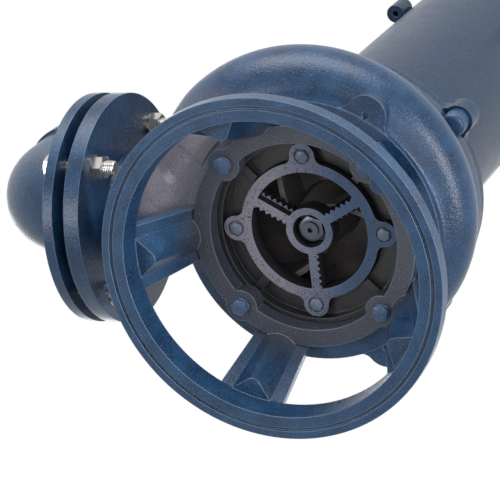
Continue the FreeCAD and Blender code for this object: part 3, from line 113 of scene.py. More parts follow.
# The drum's outer wall: its underside's level, its side's foot and shoulder as radius and level, the radius
# of the side's bulge, and the skirt's top. Then the point inside that the skin is measured from, and how many
# points the underside, side and skirt are drawn with
DRUM_UNDERSIDE = 99
DRUM_FOOT = (112, 103)
DRUM_SHOULDER = (119, 164)
DRUM_BULGE = 200
DRUM_TOP = 189.9
DRUM_EYE = (100, 135)
DRUM_POINTS = (20, 60, 30)

# The bowl's skin over the CAD's wall: how far out, how thick, its grid, its lowest direction, and the reach
# over which the drum and the passage melt together
SKIN_LIFT = 0.35
SKIN_WALL = 2.2
BOWL_ROWS = 90
BOWL_COLUMNS = 260
BOWL_LOWEST = -84
BOWL_BLEND = 14

# The neck's skin: how far out, how deep it starts under the bowl's, in how many rows it comes out, its grid,
# how many angles are tried for where it clears the chamber, the shares of the spiral that it follows first,
# and its own circles after them
NECK_LIFT = 0.9
NECK_DEPTH = 1.4
NECK_BEGUN = 34
NECK_ROWS = 90
NECK_COLUMNS = 96
NECK_TRIES = 181
NECK_SHARES = (0.93, 1.0)
NECK_STATIONS = (
    {"x": 115, "y": 38, "level": 129, "turn": 50, "radius": 40},
    {"x": 143, "y": 15, "level": 115, "turn": 72, "radius": 44},
    {"x": 174, "y": 11, "level": 109.3, "turn": 90, "radius": 47},
)
# The radius inside which the impeller's chamber has to stay clear
CHAMBER_RADIUS = 99


# Meshes

def add_object(name, data):
    """An object in the scene with its data."""
    thing = bpy.data.objects.new(name, data)
    bpy.context.scene.collection.objects.link(thing)
    return thing


def add_mesh(name, points, faces, slot, material, body="pump_body"):
    """A smooth closed piece from an array of points in millimetres and a list of faces, riding on a body."""
    mesh = bpy.data.meshes.new(name)
    mesh.from_pydata((np.asarray(points, float) * MM).tolist(), [], faces)
    close_up(mesh)
    mesh.polygons.foreach_set("use_smooth", np.ones(len(mesh.polygons), bool))
    mesh.update()
    mesh.materials.append(material)
    piece = add_object(name, mesh)
    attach(piece, body)
    return piece


def add_crisp(name, shapes, slot, material, body="pump_body"):
    """One piece of several shapes, whose sharp edges stay crisp."""
    piece = add_mesh(name, *join(shapes), slot, material, body)
    piece.data.set_sharp_from_angle(angle=np.radians(CRISP_ANGLE))
    return piece


def close_up(mesh):
    """Welds a mesh's seams and the small rings at its poles, fills its open ends and turns its faces outward.

    Where two lips meet, as at the seam of a full tube, the wall left between them inside is taken out: it is
    the only face with more than one edge that three faces share.
    """
    work = bmesh.new()
    work.from_mesh(mesh)
    bmesh.ops.remove_doubles(work, verts=work.verts, dist=WELD * MM)
    walls = [face for face in work.faces if sum(len(edge.link_faces) > 2 for edge in face.edges) > 1]
    bmesh.ops.delete(work, geom=walls, context="FACES_ONLY")
    loose = [edge for edge in work.edges if not edge.link_faces]
    bmesh.ops.delete(work, geom=loose, context="EDGES")
    bmesh.ops.holes_fill(work, edges=[edge for edge in work.edges if edge.is_boundary], sides=0)
    bmesh.ops.recalc_face_normals(work, faces=work.faces)
    work.to_mesh(mesh)
    work.free()


def grid_faces(rows, columns):
    """Quads between the rows of a grid of points, whose rows end where they start."""
    row, column = np.meshgrid(np.arange(rows - 1), np.arange(columns), indexing="ij")
    after = (column + 1) % columns
    low, high = row * columns, (row + 1) * columns
    corners = np.stack([low + column, low + after, high + after, high + column], axis=-1)
    return corners.reshape(-1, 4).tolist()


def axes_along(direction):
    """Rows of three unit vectors at right angles, the third along the direction."""
    along = np.array(direction, float) / np.linalg.norm(direction)
    side = np.cross((0, 1, 0) if abs(along[1]) < 0.9 else (0, 0, 1), along)
    side /= np.linalg.norm(side)
    return np.stack([side, np.cross(along, side), along])


def set_at(shape, place, direction, turn=0):
    """A shape turned about its own height by an angle, stood along a direction and moved to a place."""
    points, faces = shape
    cos, sin = np.cos(np.radians(turn)), np.sin(np.radians(turn))
    turned = points @ np.array([[cos, sin, 0], [-sin, cos, 0], [0, 0, 1]])
    return turned @ axes_along(direction) + np.array(place, float), faces


def join(shapes):
    """One array of points and one list of faces from several shapes, each a pair of them."""
    starts = np.cumsum([0] + [len(points) for points, _ in shapes])
    faces = [[int(corner + start) for corner in face]
             for (_, some), start in zip(shapes, starts) for face in some]
    return np.concatenate([points for points, _ in shapes]), faces


def around(circle, angle, count=4):
    """The x and y of evenly spaced places on a circle, the first at an angle, with each one's own angle."""
    turns = np.radians(angle) + np.arange(count) * 2 * np.pi / count
    return [(circle * np.cos(turn), circle * np.sin(turn), np.degrees(turn)) for turn in turns]


def round_angles(count):
    """Evenly spaced angles once round an axis, in radians."""
    return np.linspace(0, 2 * np.pi, count, endpoint=False)


def revolved(rows, count=ROUND):
    """Rows of radius and height carried round an axis. Either can be one value or one for each angle."""
    angle = round_angles(count)
    radii, heights = (np.stack([row[i] + 0 * angle for row in rows]) for i in (0, 1))
    points = np.stack([radii * np.cos(angle), radii * np.sin(angle), heights], axis=-1)
    return points.reshape(-1, 3), grid_faces(len(rows), count)


def rod(radius, low, high, count=ROUND):
    """A plain round rod from one height to another."""
    return revolved([(POLE, low), (radius, low), (radius, high), (POLE, high)], count)


def hexagon(flats, angle):
    """A hexagon's radius at an angle.

    It is half the flats over the cosine of the angle from the nearest flat's middle.
    """
    return flats / 2 / np.cos((angle + np.pi / 6) % (np.pi / 3) - np.pi / 6)


def hexagon_block(flats, height, bore=POLE, both=False):
    """A hexagon with its corners turned off by a 30 degree cone at its top, or at both ends.

    The end's height falls from the inner circle by the tangent of 30 degrees times the reach beyond it.
    """
    corner = hexagon(flats, round_angles(ROUND))
    circle = flats / 2 * TURNED_SHARE
    fall = (corner - circle) * TURNED_SLOPE
    return revolved([
        (bore, 0),
        (circle, 0),
        (corner, fall if both else 0),
        (corner, height - fall),
        (circle, height),
        (bore, height),
        (bore, 0),
    ])


def screw_thread(radius, pitch, length):
    """A rod whose radius rises and falls along a helix, turned off over the last pitch.

    The height over the pitch less the share of a turn gives the place in the thread. The radius falls from
    the crest by the thread's depth times that place's distance from the nearest crest.
    """
    rows = int(length / pitch * THREAD_ROWS) + 1
    level = np.linspace(0, length, rows)[:, None]
    place = (level / pitch - round_angles(ROD_ROUND) / (2 * np.pi)) % 1
    depth = THREAD_DEPTH * pitch * (1 - np.abs(2 * place - 1))
    turned_off = np.clip((level - (length - pitch)) / pitch, 0, 1) * 0.5 * pitch
    points, faces = revolved(list(zip(radius - np.maximum(depth, turned_off), level)), ROD_ROUND)
    rim = (rows - 1) * ROD_ROUND
    fan = [[rim + i, rim + (i + 1) % ROD_ROUND, rows * ROD_ROUND] for i in range(ROD_ROUND)]
    return np.concatenate([points, [[0, 0, length]]]), faces + fan


# Materials

# The enamel: how far its edges are rounded, then the waves of its film, of the grain under it and of its
# thickness, from crest to crest, and its roughness at both ends of the last
ENAMEL_EDGE = 1.3
PEEL = 2.4
SAND_GRAIN = 1.2
CLOUDS = 25
ENAMEL_GLOSS = (0.26, 0.36)
# How much of the hollows' colour and of the painted highlight on the grains' tops shows, and how much of an
# edge is made pale, as rubbed paint and a painted highlight
HOLLOW_COLOUR = "#131b26"
HOLLOW_SHARE = 0.55
GRAIN_HIGHLIGHT_SHARE = 0.3
RUBBED_AND_HIGHLIT_SHARE = 0.5
# The cutter's steel: how far its edges are rounded, the waves whose lowest parts are its pinholes, how far
# from the axis its painted light turns from warm to a painted blue reflection, and the colour of its worn
# edges, partly a painted highlight, and how much of it shows
STEEL_EDGE = 0.8
PINHOLES = 1.3
PAINTED_LIGHT_REACH = 30
WORN_AND_HIGHLIT_COLOUR = "#b9b5bd"
WORN_AND_HIGHLIT_SHARE = 0.45
# A colour mix takes its factor and its two colours in these sockets
FACTOR, FIRST, SECOND, MIXED = 0, 6, 7, 2


def linear(colour):
    """The linear values of an sRGB hex colour."""
    values = np.array([int(colour[i:i + 2], 16) for i in (1, 3, 5)]) / 255
    straight = np.where(values <= 0.04045, values / 12.92, ((values + 0.055) / 1.055) ** 2.4)
    return (*straight.tolist(), 1.0)


def add(tree, kind, links=None, **settings):
    """One node with its settings, and with its sockets fed by other nodes' outputs or by plain values."""
    node = tree.nodes.new(kind)
    for name, value in settings.items():
        setattr(node, name, value)
    for socket, value in (links or {}).items():
        if isinstance(value, bpy.types.NodeSocket):
            tree.links.new(value, node.inputs[socket])
        else:
            node.inputs[socket].default_value = value
    return node


def empty_tree(owner):
    """The node tree of a new material or world, with nothing in it."""
    owner.use_nodes = True
    owner.node_tree.nodes.clear()
    return owner.node_tree


def new_material(name, **shader_values):
    """A node material with a Principled shader, the plain values of which are set on its own sockets."""
    material = bpy.data.materials.new(name)
    tree = empty_tree(material)
    shader = add(tree, "ShaderNodeBsdfPrincipled", {
        socket.replace("_", " "): value for socket, value in shader_values.items()})
    add(tree, "ShaderNodeOutputMaterial", {"Surface": shader.outputs["BSDF"]})
    return material, tree, shader


def feed(tree, shader, **outputs):
    """Links nodes' outputs to a shader's sockets."""
    for socket, output in outputs.items():
        tree.links.new(output, shader.inputs[socket.replace("_", " ")])


def object_place(tree):
    """Where the surface is, in the object's own coordinates."""
    return add(tree, "ShaderNodeTexCoord").outputs["Object"]


def noise(tree, place, size, detail, roughness=0.5):
    """Noise with waves of a size in millimetres."""
    return add(tree, "ShaderNodeTexNoise", {
        "Vector": place, "Scale": 1 / (size * MM), "Detail": detail, "Roughness": roughness}).outputs["Fac"]


def ramp(tree, value, start, end, low=0.0, high=1.0):
    """A value that goes from low to high as another goes from start to end."""
    return add(tree, "ShaderNodeMapRange", {
        "Value": value, "From Min": start, "From Max": end, "To Min": low, "To Max": high}).outputs["Result"]


def combined(tree, operation, first, second):
    """The product, difference or greater of two values."""
    return add(tree, "ShaderNodeMath", {0: first, 1: second}, operation=operation).outputs["Value"]


def mixed(tree, factor, first, second):
    """The colour at a factor between two, each of them a hex colour or a node's output."""
    first, second = (linear(tone) if isinstance(tone, str) else tone for tone in (first, second))
    node = add(tree, "ShaderNodeMix", {FACTOR: factor, FIRST: first, SECOND: second}, data_type="RGBA")
    return node.outputs[MIXED]


def bumped(tree, height, strength, depth, **normal):
    """The normal, its own or a given one, tilted as by a relief of a depth in millimetres."""
    return add(tree, "ShaderNodeBump", {
        "Height": height, "Strength": strength, "Distance": depth * MM, **normal}).outputs["Normal"]


def facing_up(tree):
    """How far the surface faces up: 1 if it faces up, 0 if upright, -1 if it faces down."""
    own = add(tree, "ShaderNodeNewGeometry").outputs["Normal"]
    return add(tree, "ShaderNodeSeparateXYZ", {"Vector": own}).outputs["Z"]


def soft_edges(tree, radius):
    """The normal rounded over sharp edges, and how far it leans from the face's own: 1 on an edge, else 0."""
    rounded = add(tree, "ShaderNodeBevel", {"Radius": radius * MM}, samples=6).outputs["Normal"]
    own = add(tree, "ShaderNodeNewGeometry").outputs["Normal"]
    likeness = add(tree, "ShaderNodeVectorMath", {0: rounded, 1: own}, operation="DOT_PRODUCT")
    return rounded, ramp(tree, likeness.outputs["Value"], 0.985, 0.88)


def cast_enamel(name, dark, light, grain_highlight, painted_warm_light=None, warm_light_at=(0, 0, 0), warm_light_reach=(0, 1),
                warm_light_facing=(-0.3, -0.8), sheen=0.4):
    """Alkyd enamel sprayed over sand-cast iron: a half-gloss film with the sand's grain under it.

    Painted warm light is a greyer, warmer tone painted in for warm light and a brownish reflection. It is
    full within the first reach of a place and gone past the second, in millimetres, and comes in as the
    face's normal goes down from one upright share to another.
    """
    material, tree, shader = new_material(name, IOR=1.5, Specular_IOR_Level=sheen)
    place = object_place(tree)
    rounded, edge = soft_edges(tree, ENAMEL_EDGE)
    # The sprayed film's orange peel, which breaks up the highlights
    peel = noise(tree, place, PEEL, 1.0)
    # The sand's grain, drawn at twice its size so that it shows
    grain = noise(tree, place, SAND_GRAIN, 3.0, 0.65)
    # The film runs thick and thin, which gives darker and lighter clouds
    clouds = noise(tree, place, CLOUDS, 4.0, 0.6)
    colour = mixed(tree, ramp(tree, clouds, 0.35, 0.65), dark, light)
    # Painted warm light: a greyer, warmer tone on faces turned down near a place, for warm light and a
    # brownish reflection
    if painted_warm_light is not None:
        down = ramp(tree, facing_up(tree), *warm_light_facing)
        far = add(tree, "ShaderNodeVectorMath", {
            0: place, 1: tuple(value * MM for value in warm_light_at)}, operation="DISTANCE").outputs["Value"]
        near = ramp(tree, far, warm_light_reach[1] * MM, warm_light_reach[0] * MM)
        colour = mixed(tree, combined(tree, "MULTIPLY", down, near), colour, painted_warm_light)
    # Dust and shade in the hollows between grains
    pitted = mixed(tree, ramp(tree, grain, 0.46, 0.3, high=HOLLOW_SHARE), colour, HOLLOW_COLOUR)
    # Pale specks on the highest grains, a painted highlight, and paler edges, partly rubbed paint and partly
    # a painted highlight
    grain_highlight_mask = ramp(tree, grain, 0.55, 0.75, high=GRAIN_HIGHLIGHT_SHARE)
    rubbed_and_highlit = combined(tree, "MULTIPLY", edge, RUBBED_AND_HIGHLIT_SHARE)
    speckled = mixed(tree, combined(tree, "MAXIMUM", grain_highlight_mask, rubbed_and_highlit), pitted, grain_highlight)
    waves = bumped(tree, peel, 0.5, 0.5, Normal=rounded)
    feed(tree, shader,
         Base_Color=speckled,
         Roughness=ramp(tree, clouds, 0.3, 0.7, *ENAMEL_GLOSS),
         Normal=bumped(tree, grain, 0.5, 0.25, Normal=waves))
    return material


def cast_steel(name, pale, painted_blue_reflection, pits_and_shaded_sides):
    """Cast chromium steel: a ground grey front with dark pinholes, and dark sides, partly the casting's skin
    and partly painted shade.

    The front's tone is painted light: warm on the outlet's side and a painted blue reflection on the side
    away from it.
    """
    material, tree, shader = new_material(name, Metallic=0.15, Specular_IOR_Level=0.35, Roughness=0.5)
    place = object_place(tree)
    rounded, edge = soft_edges(tree, STEEL_EDGE)
    # Painted light across the front: a warm lit tone on the outlet's side and a painted blue reflection on
    # the other
    across = add(tree, "ShaderNodeSeparateXYZ", {"Vector": place}).outputs["X"]
    tone = mixed(tree, ramp(tree, across, -PAINTED_LIGHT_REACH * MM, PAINTED_LIGHT_REACH * MM), painted_blue_reflection, pale)
    # Dark pinholes scattered over the ground front
    holes = noise(tree, place, PINHOLES, 2.0)
    spotted = mixed(tree, ramp(tree, holes, 0.42, 0.34, high=0.9), tone, pits_and_shaded_sides)
    # Paler edges: worn steel, and partly a painted highlight
    bright = mixed(tree, combined(tree, "MULTIPLY", edge, WORN_AND_HIGHLIT_SHARE), spotted, WORN_AND_HIGHLIT_COLOUR)
    # The front faces down and is ground. The sides are darkened, partly for the casting's dark skin and
    # partly as painted shade
    front = mixed(tree, ramp(tree, facing_up(tree), -0.9, -0.4), bright, pits_and_shaded_sides)
    feed(tree, shader, Base_Color=front, Normal=bumped(tree, holes, 0.4, 0.25, Normal=rounded))
    return material


def turned_metal(name, colour, stain, roughness, grain_size):
    """Turned or drawn metal: fine noise in its gloss, and a faint stain."""
    material, tree, shader = new_material(name, Metallic=1.0)
    grain = noise(tree, object_place(tree), grain_size, 3.0)
    feed(tree, shader,
         Base_Color=mixed(tree, grain, colour, stain),
         Roughness=ramp(tree, grain, 0.0, 1.0, roughness * 0.7, roughness * 1.3),
         Normal=bumped(tree, grain, 0.05, 0.05))
    return material


def plain_solid(name, colour, shade, roughness, grain_size):
    """Rubber, paper or ceramic: two close tones and a fine skin."""
    material, tree, shader = new_material(name, Roughness=roughness)
    grain = noise(tree, object_place(tree), grain_size, 2.0)
    feed(tree, shader, Base_Color=mixed(tree, grain, colour, shade), Normal=bumped(tree, grain, 0.3, 0.1))
    return material


# Each enamel's third tone is the pale of its grains' tops, a painted highlight, and of its edges, rubbed and
# a painted highlight. The greyer tones given by keyword are painted warm light near the stand's flange, the
# outlet's neck and the cover's middle
STAND_ENAMEL = cast_enamel(
    "enamel_on_cast_iron_stand", "#163656", "#23486c", "#9fb6cf",
    painted_warm_light="#40434e", warm_light_at=(0, 0, 95), warm_light_reach=(95, 116), warm_light_facing=(0.6, 0.1))
CASING_ENAMEL = cast_enamel(
    "enamel_on_cast_iron_casing", "#102d4c", "#1f4265", "#8aa5c4",
    painted_warm_light="#716f7a", warm_light_at=(85, 45, 80), warm_light_reach=(50, 88))
MOTOR_ENAMEL = cast_enamel("enamel_on_cast_iron_motor", "#142c45", "#1a3550", "#8099b5", sheen=0.2)
BOLT_ENAMEL = cast_enamel("enamel_on_bolt_heads", "#31496a", "#425e80", "#9fb1c5")
SCREW_ENAMEL = cast_enamel("rubbed_enamel_on_cutter_screws", "#546276", "#6b788a", "#b4bac3")
COVER_IRON = cast_enamel(
    "primed_cast_iron_cover", "#1c1f23", "#26282d", "#5f5b60",
    painted_warm_light="#211f20", warm_light_at=(0, 0, 95), warm_light_reach=(60, 90))
# The cutter's blue tone is a painted reflection, and its darkest tone is its pinholes and painted shade on
# its sides
CUTTER_STEEL = cast_steel("cast_chromium_steel", "#7f7d8a", "#3c5270", "#25252b")
IMPELLER_IRON = cast_enamel("wet_cast_iron_impeller", "#4d494a", "#5e5959", "#8f8a8a")
STAINLESS = turned_metal("cold_drawn_stainless_steel", "#cbc9c7", "#b5b2b0", 0.24, 0.8)
SHAFT_STEEL = turned_metal("turned_chromium_steel", "#5c626c", "#3c4048", 0.35, 0.6)
BEARING_STEEL = turned_metal("ground_bearing_steel", "#b4b8bd", "#9a9ea4", 0.15, 0.4)
LAMINATION = turned_metal("varnished_electrical_steel", "#55555a", "#43434a", 0.45, 0.5)
COPPER = turned_metal("enamelled_copper_winding", "#a8622f", "#7c4420", 0.4, 1.4)
ALUMINIUM = turned_metal("cast_aluminium_end_ring", "#bfc1c2", "#9fa2a4", 0.4, 1.2)
GLAND_BRASS = turned_metal("nickel_plated_brass", "#b9b4aa", "#98948c", 0.25, 0.7)
RUBBER = plain_solid("moulded_nitrile_rubber", "#1d1f22", "#2a2c2f", 0.6, 0.5)
PAPER = plain_solid("oiled_gasket_paper", "#6f6448", "#5c533c", 0.8, 0.6)
CERAMIC = plain_solid("sintered_silicon_carbide", "#3a3c40", "#2d2f33", 0.25, 0.3)

# What each CAD node is made of to the eye
NODE_MATERIALS = {
    "base_stand": STAND_ENAMEL,
    "base_bolts": BOLT_ENAMEL,
    "suction_cover": COVER_IRON,
    "cutter_plate": CUTTER_STEEL,
    "cutter_screws": SCREW_ENAMEL,
    "volute_casing": CASING_ENAMEL,
    "discharge_gasket": RUBBER,
    "discharge_elbow": CASING_ENAMEL,
    "flange_bolts": STAINLESS,
    "flange_nuts": STAINLESS,
    "flange_washers": STAINLESS,
    "volute_gasket": PAPER,
    "oil_chamber": CASING_ENAMEL,
    "oil_gasket": PAPER,
    "lower_seal_seat": CERAMIC,
    "lower_seal_head": CERAMIC,
    "seal_spring": STAINLESS,
    "upper_seal_head": CERAMIC,
    "upper_seal_seat": CERAMIC,
    "bearing_bracket": COVER_IRON,
    "lower_bearing_inner": BEARING_STEEL,
    "lower_bearing_outer": BEARING_STEEL,
    "lower_bearing_balls": BEARING_STEEL,
    "upper_bearing_inner": BEARING_STEEL,
    "upper_bearing_outer": BEARING_STEEL,
    "upper_bearing_balls": BEARING_STEEL,
    "shaft": SHAFT_STEEL,
    "impeller": IMPELLER_IRON,
    "impeller_key": SHAFT_STEEL,
    "impeller_washer": SHAFT_STEEL,
    "impeller_nut": SHAFT_STEEL,
    "rotor_core": LAMINATION,
    "rotor_lower_ring": ALUMINIUM,
    "rotor_upper_ring": ALUMINIUM,
    "stator_core": LAMINATION,
    "lower_winding": COPPER,
    "upper_winding": COPPER,
    "motor_casing": MOTOR_ENAMEL,
    "motor_bolts": BOLT_ENAMEL,
    "top_cover": MOTOR_ENAMEL,
    "cover_screws": STAINLESS,
    "lifting_handle": STAINLESS,
    "handle_bolts": STAINLESS,
    "gland_body": GLAND_BRASS,
    "gland_nut": GLAND_BRASS,
    "gland_grommet": RUBBER,
}
for node, material in NODE_MATERIALS.items():
    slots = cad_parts[node].data.materials
    slots.clear()
    slots.append(material)


# Pieces

def smooth_most(first, second, reach):
    """The greater of two values, rounded over where they come within a reach of each other.

    It adds a quarter of the square of what is left of the reach over the reach.
    """
    left = np.maximum(reach - np.abs(first - second), 0)
    return np.maximum(first, second) + left ** 2 / reach / 4


def drum_reach(direction):
    """How far the drum's outer wall lies from the eye point, in each direction of the upright half-plane.

    The wall goes out along the underside, up a bulged side and up the skirt. The side stands off its chord by
    a parabola as high as the sag of the bulge's circle: its radius less the root of the radius squared less
    half the chord squared.
    """
    (low_r, low_z), (high_r, high_z) = DRUM_FOOT, DRUM_SHOULDER
    under, beside, above = DRUM_POINTS
    chord = np.hypot(high_r - low_r, high_z - low_z)
    along = np.linspace(0, 1, beside)
    sag = DRUM_BULGE - np.sqrt(DRUM_BULGE ** 2 - (chord / 2) ** 2)
    swell = sag * (1 - (2 * along - 1) ** 2)
    radii = low_r + (high_r - low_r) * along + swell * (high_z - low_z) / chord
    levels = low_z + (high_z - low_z) * along - swell * (high_r - low_r) / chord
    radii = np.concatenate([np.linspace(DRUM_EYE[0], low_r, under), radii, np.full(above, high_r)])
    radii = radii + SKIN_LIFT
    levels = np.concatenate([np.full(under, DRUM_UNDERSIDE), levels, np.linspace(high_z, DRUM_TOP, above)])
    seen = np.arctan2(levels - DRUM_EYE[1], radii - DRUM_EYE[0])
    return np.interp(direction, seen, np.hypot(levels - DRUM_EYE[1], radii - DRUM_EYE[0]))


def scroll_circle(share):
    """The radius of the spiral's path round the motor's axis, and of its passage, at a share of its sweep."""
    return SCROLL_PATH[0] + SCROLL_PATH[1] * share, SCROLL_TUBE[0] + SCROLL_TUBE[1] * share


def scroll_reach(share, direction):
    """How far the spiral's round passage lies from the eye point, in each direction, at a share of its sweep.

    The distance along a ray to a circle around it: the drop of the centre on the ray, plus the root of the
    circle's radius squared less the rest of the centre's distance squared.
    """
    path, tube = scroll_circle(share)
    out = path - DRUM_EYE[0]
    up = SCROLL_LEVEL - DRUM_EYE[1]
    drop = out * np.cos(direction) + up * np.sin(direction)
    beside = out * np.sin(direction) - up * np.cos(direction)
    return drop + np.sqrt((tube + SKIN_LIFT) ** 2 - beside ** 2)


def casing_bowl():
    """The casing's outer wall as one smooth bowl: the drum and the growing passage melted into each other.

    At each angle round the motor axis and each direction from the eye point, the wall's distance is the
    smooth most of the drum's and the passage's. Past the end of the sweep the passage shrinks back under the
    neck.
    """
    share = (np.radians(SCROLL_START) - round_angles(BOWL_COLUMNS)) % (2 * np.pi) / np.radians(SCROLL_SWEEP)
    fade, width = SCROLL_FADE
    share = np.where(share < fade, np.minimum(share, 1), np.clip(1 - (share - fade) / width, 0, 1))
    top = np.arctan2(DRUM_TOP - DRUM_EYE[1], DRUM_SHOULDER[0] + SKIN_LIFT - DRUM_EYE[0])
    direction = np.linspace(np.radians(BOWL_LOWEST), top, BOWL_ROWS)[:, None]
    drum = drum_reach(direction) + 0 * share
    outer = smooth_most(drum, scroll_reach(share[None, :], direction), BOWL_BLEND)
    reach = np.concatenate([outer, (outer - SKIN_WALL)[::-1], outer[:1]])
    turned = np.concatenate([direction, direction[::-1], direction[:1]])
    rows = zip(DRUM_EYE[0] + reach * np.cos(turned), DRUM_EYE[1] + reach * np.sin(turned))
    add_mesh("casing_bowl", *revolved(list(rows), BOWL_COLUMNS), "blue_paint", CASING_ENAMEL)


def smooth_through(values, count):
    """A curve through the rows of an array, by the Catmull-Rom formula, with the ends' slopes carried on."""
    values = np.concatenate([2 * values[:1] - values[1:2], values, 2 * values[-1:] - values[-2:-1]])
    # The last place stops just short of the last row, so that there is a row after it
    place = np.linspace(0, len(values) - 3 - 1e-9, count)
    index = place.astype(int)
    part = (place - index)[:, None]
    before, start, end, after = (values[index + i] for i in range(4))
    return 0.5 * (2 * start + (end - before) * part + (2 * before - 5 * start + 4 * end - after) * part ** 2
                  + (3 * start - before - 3 * end + after) * part ** 3)


def outlet_neck():
    """The neck from the spiral's end to the outlet flange: circles carried along a curve, as a double wall.

    Each circle lies in the upright plane at its own turn. Where it would pass into the impeller's chamber it
    stops short, at the angle from the outward side at which it is still in the casing's wall.
    """
    stations = []
    for share in NECK_SHARES:
        angle = SCROLL_START - SCROLL_SWEEP * share + 360
        path, tube = scroll_circle(share)
        stations.append((path * np.cos(np.radians(angle)), path * np.sin(np.radians(angle)), SCROLL_LEVEL,
                         angle, tube))
    stations += [tuple(station.values()) for station in NECK_STATIONS]
    x, y, level, turn, radius = smooth_through(np.array(stations, float), NECK_ROWS).T[:, :, None]
    turn = np.radians(turn)
    tries = np.linspace(0, np.pi, NECK_TRIES)[None, :]
    across = radius * np.cos(tries)
    from_axis = np.hypot(x + across * np.cos(turn), y + across * np.sin(turn))
    clear = np.where(from_axis < CHAMBER_RADIUS, tries, np.pi).min(axis=1, keepdims=True)
    outward = np.linspace(-1, 1, NECK_COLUMNS)[None, :] * clear
    # The neck starts under the bowl's skin and comes out of it by degrees
    begun = np.clip(np.arange(NECK_ROWS) / NECK_BEGUN, 0, 1)[:, None]
    outside = (NECK_LIFT + NECK_DEPTH) * begun - NECK_DEPTH
    inside = -SKIN_WALL - NECK_DEPTH * (1 - begun)
    walls = []
    for lift, angle in ((outside, outward), (inside, outward[:, ::-1])):
        across = (radius + lift) * np.cos(angle)
        walls.append(np.stack([
            x + across * np.cos(turn), y + across * np.sin(turn), level + (radius + lift) * np.sin(angle)],
            axis=-1))
    points = np.concatenate(walls, axis=1)
    rows, columns = points.shape[:2]
    caps = [[row + i, row + i + 1, row + columns - 2 - i, row + columns - 1 - i]
            for row in (0, (rows - 1) * columns) for i in range(NECK_COLUMNS - 1)]
    faces = grid_faces(rows, columns) + caps
    add_mesh("outlet_neck", points.reshape(-1, 3), faces, "blue_paint", CASING_ENAMEL)


def hexagon_heads(name, node, bolt, direction, slot, material, seat=WASHER_FACE):
    """Hexagon heads on their washer faces, at the places of a node of upright bolts."""
    head = hexagon_block(bolt["flats"], bolt["height"])
    washer = rod(bolt["flats"] / 2 + WASHER_LIP, 0, seat)
    shapes = []
    for x, y, angle in around(bolt["circle"], bolt["angle"]):
        place = (x, y, bolt["level"])
        shapes += [set_at(head, place, direction, angle), set_at(washer, place, direction)]
    piece = add_crisp(name, shapes, slot, material)
    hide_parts(node)


def flange_places():
    """The y and z of the bolts on the outlet flange, with each one's angle."""
    return [(FLANGE_CENTRE[0] + y, FLANGE_CENTRE[1] + z, angle)
            for y, z, angle in around(FLANGE_BOLT["circle"], FLANGE_BOLT["angle"])]


def outlet_nuts():
    """Hexagon nuts, turned off at both ends, on the casing's side of the outlet flange."""
    nut = hexagon_block(FLANGE_BOLT["flats"], FLANGE_NUT_HEIGHT, FLANGE_BOLT["radius"], both=True)
    face = FLANGE_BACK - FLANGE_WASHER
    shapes = [set_at(nut, (face, y, z), INLET, angle) for y, z, angle in flange_places()]
    piece = add_crisp("outlet_nuts", shapes, "stainless", STAINLESS)
    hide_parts("flange_nuts")


def outlet_bolts():
    """Bolts through both flanges: a head, a plain shank and a cut thread that stands out of the nut."""
    seat = ELBOW_BACK + FLANGE_WASHER
    tip = FLANGE_BACK - FLANGE_WASHER - FLANGE_NUT_HEIGHT - FLANGE_TAIL
    radius, threaded = FLANGE_BOLT["radius"], FLANGE_BOLT["thread"]
    head = hexagon_block(FLANGE_BOLT["flats"], FLANGE_BOLT["height"])
    # The shank begins 1 mm inside the head
    shank = rod(radius, -1, seat - tip - threaded, ROD_ROUND)
    thread = screw_thread(radius, FLANGE_BOLT["pitch"], threaded)
    shapes = []
    for y, z, angle in flange_places():
        shapes += [
            set_at(head, (seat, y, z), OUTLET, angle),
            set_at(shank, (seat, y, z), INLET),
            set_at(thread, (tip + threaded, y, z), INLET),
        ]
    piece = add_crisp("outlet_bolts", shapes, "stainless", STAINLESS)
    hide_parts("flange_bolts")


def socket_screws():
    """Cap screws on the lid: a round head with a turned-off rim and a six-sided socket in it."""
    radius, height, rim = (COVER_SCREW[key] for key in ("radius", "height", "rim"))
    socket = hexagon(COVER_SCREW["key"], round_angles(SCREW_ROUND))
    head = revolved([
        (POLE, 0),
        (radius, 0),
        (radius, height - rim),
        (radius - rim, height),
        (socket, height),
        (socket, height / 2),
        (POLE, height / 2),
    ], SCREW_ROUND)
    shapes = [set_at(head, (x, y, COVER_SCREW["level"]), UP, turn)
              for x, y, turn in around(COVER_SCREW["circle"], COVER_SCREW["angle"])]
    piece = add_crisp("lid_cap_screws", shapes, "stainless", STAINLESS)
    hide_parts("cover_screws")


def handle_bolt_heads():
    """The two bolts on the handle's tabs."""
    head = hexagon_block(HANDLE_BOLT["flats"], HANDLE_BOLT["height"])
    place, level, turn = (HANDLE_BOLT[key] for key in ("place", "level", "turn"))
    shapes = [set_at(head, (0, side * place, level), UP, side * turn) for side in (-1, 1)]
    piece = add_crisp("handle_bolt_heads", shapes, "stainless", STAINLESS)
    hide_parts("handle_bolts")


def shaft_end_nut():
    """The nut under the impeller, turned off at both ends."""
    nut = hexagon_block(IMPELLER_NUT["flats"], IMPELLER_NUT["height"], IMPELLER_NUT["bore"], both=True)
    shapes = [set_at(nut, (0, 0, IMPELLER_NUT["level"]), DOWN, IMPELLER_NUT["turn"])]
    piece = add_crisp("shaft_end_nut", shapes, "dark_steel", SHAFT_STEEL, body="rotor")
    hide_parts("impeller_nut")


def gland_pressing_nut():
    """The gland's big nut, turned off at both ends."""
    nut = hexagon_block(GLAND_NUT["flats"], GLAND_NUT["height"], GLAND_NUT["bore"], both=True)
    shapes = [set_at(nut, (GLAND_NUT["x"], 0, GLAND_NUT["level"]), UP)]
    piece = add_crisp("gland_pressing_nut", shapes, "stainless", GLAND_BRASS)
    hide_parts("gland_nut")


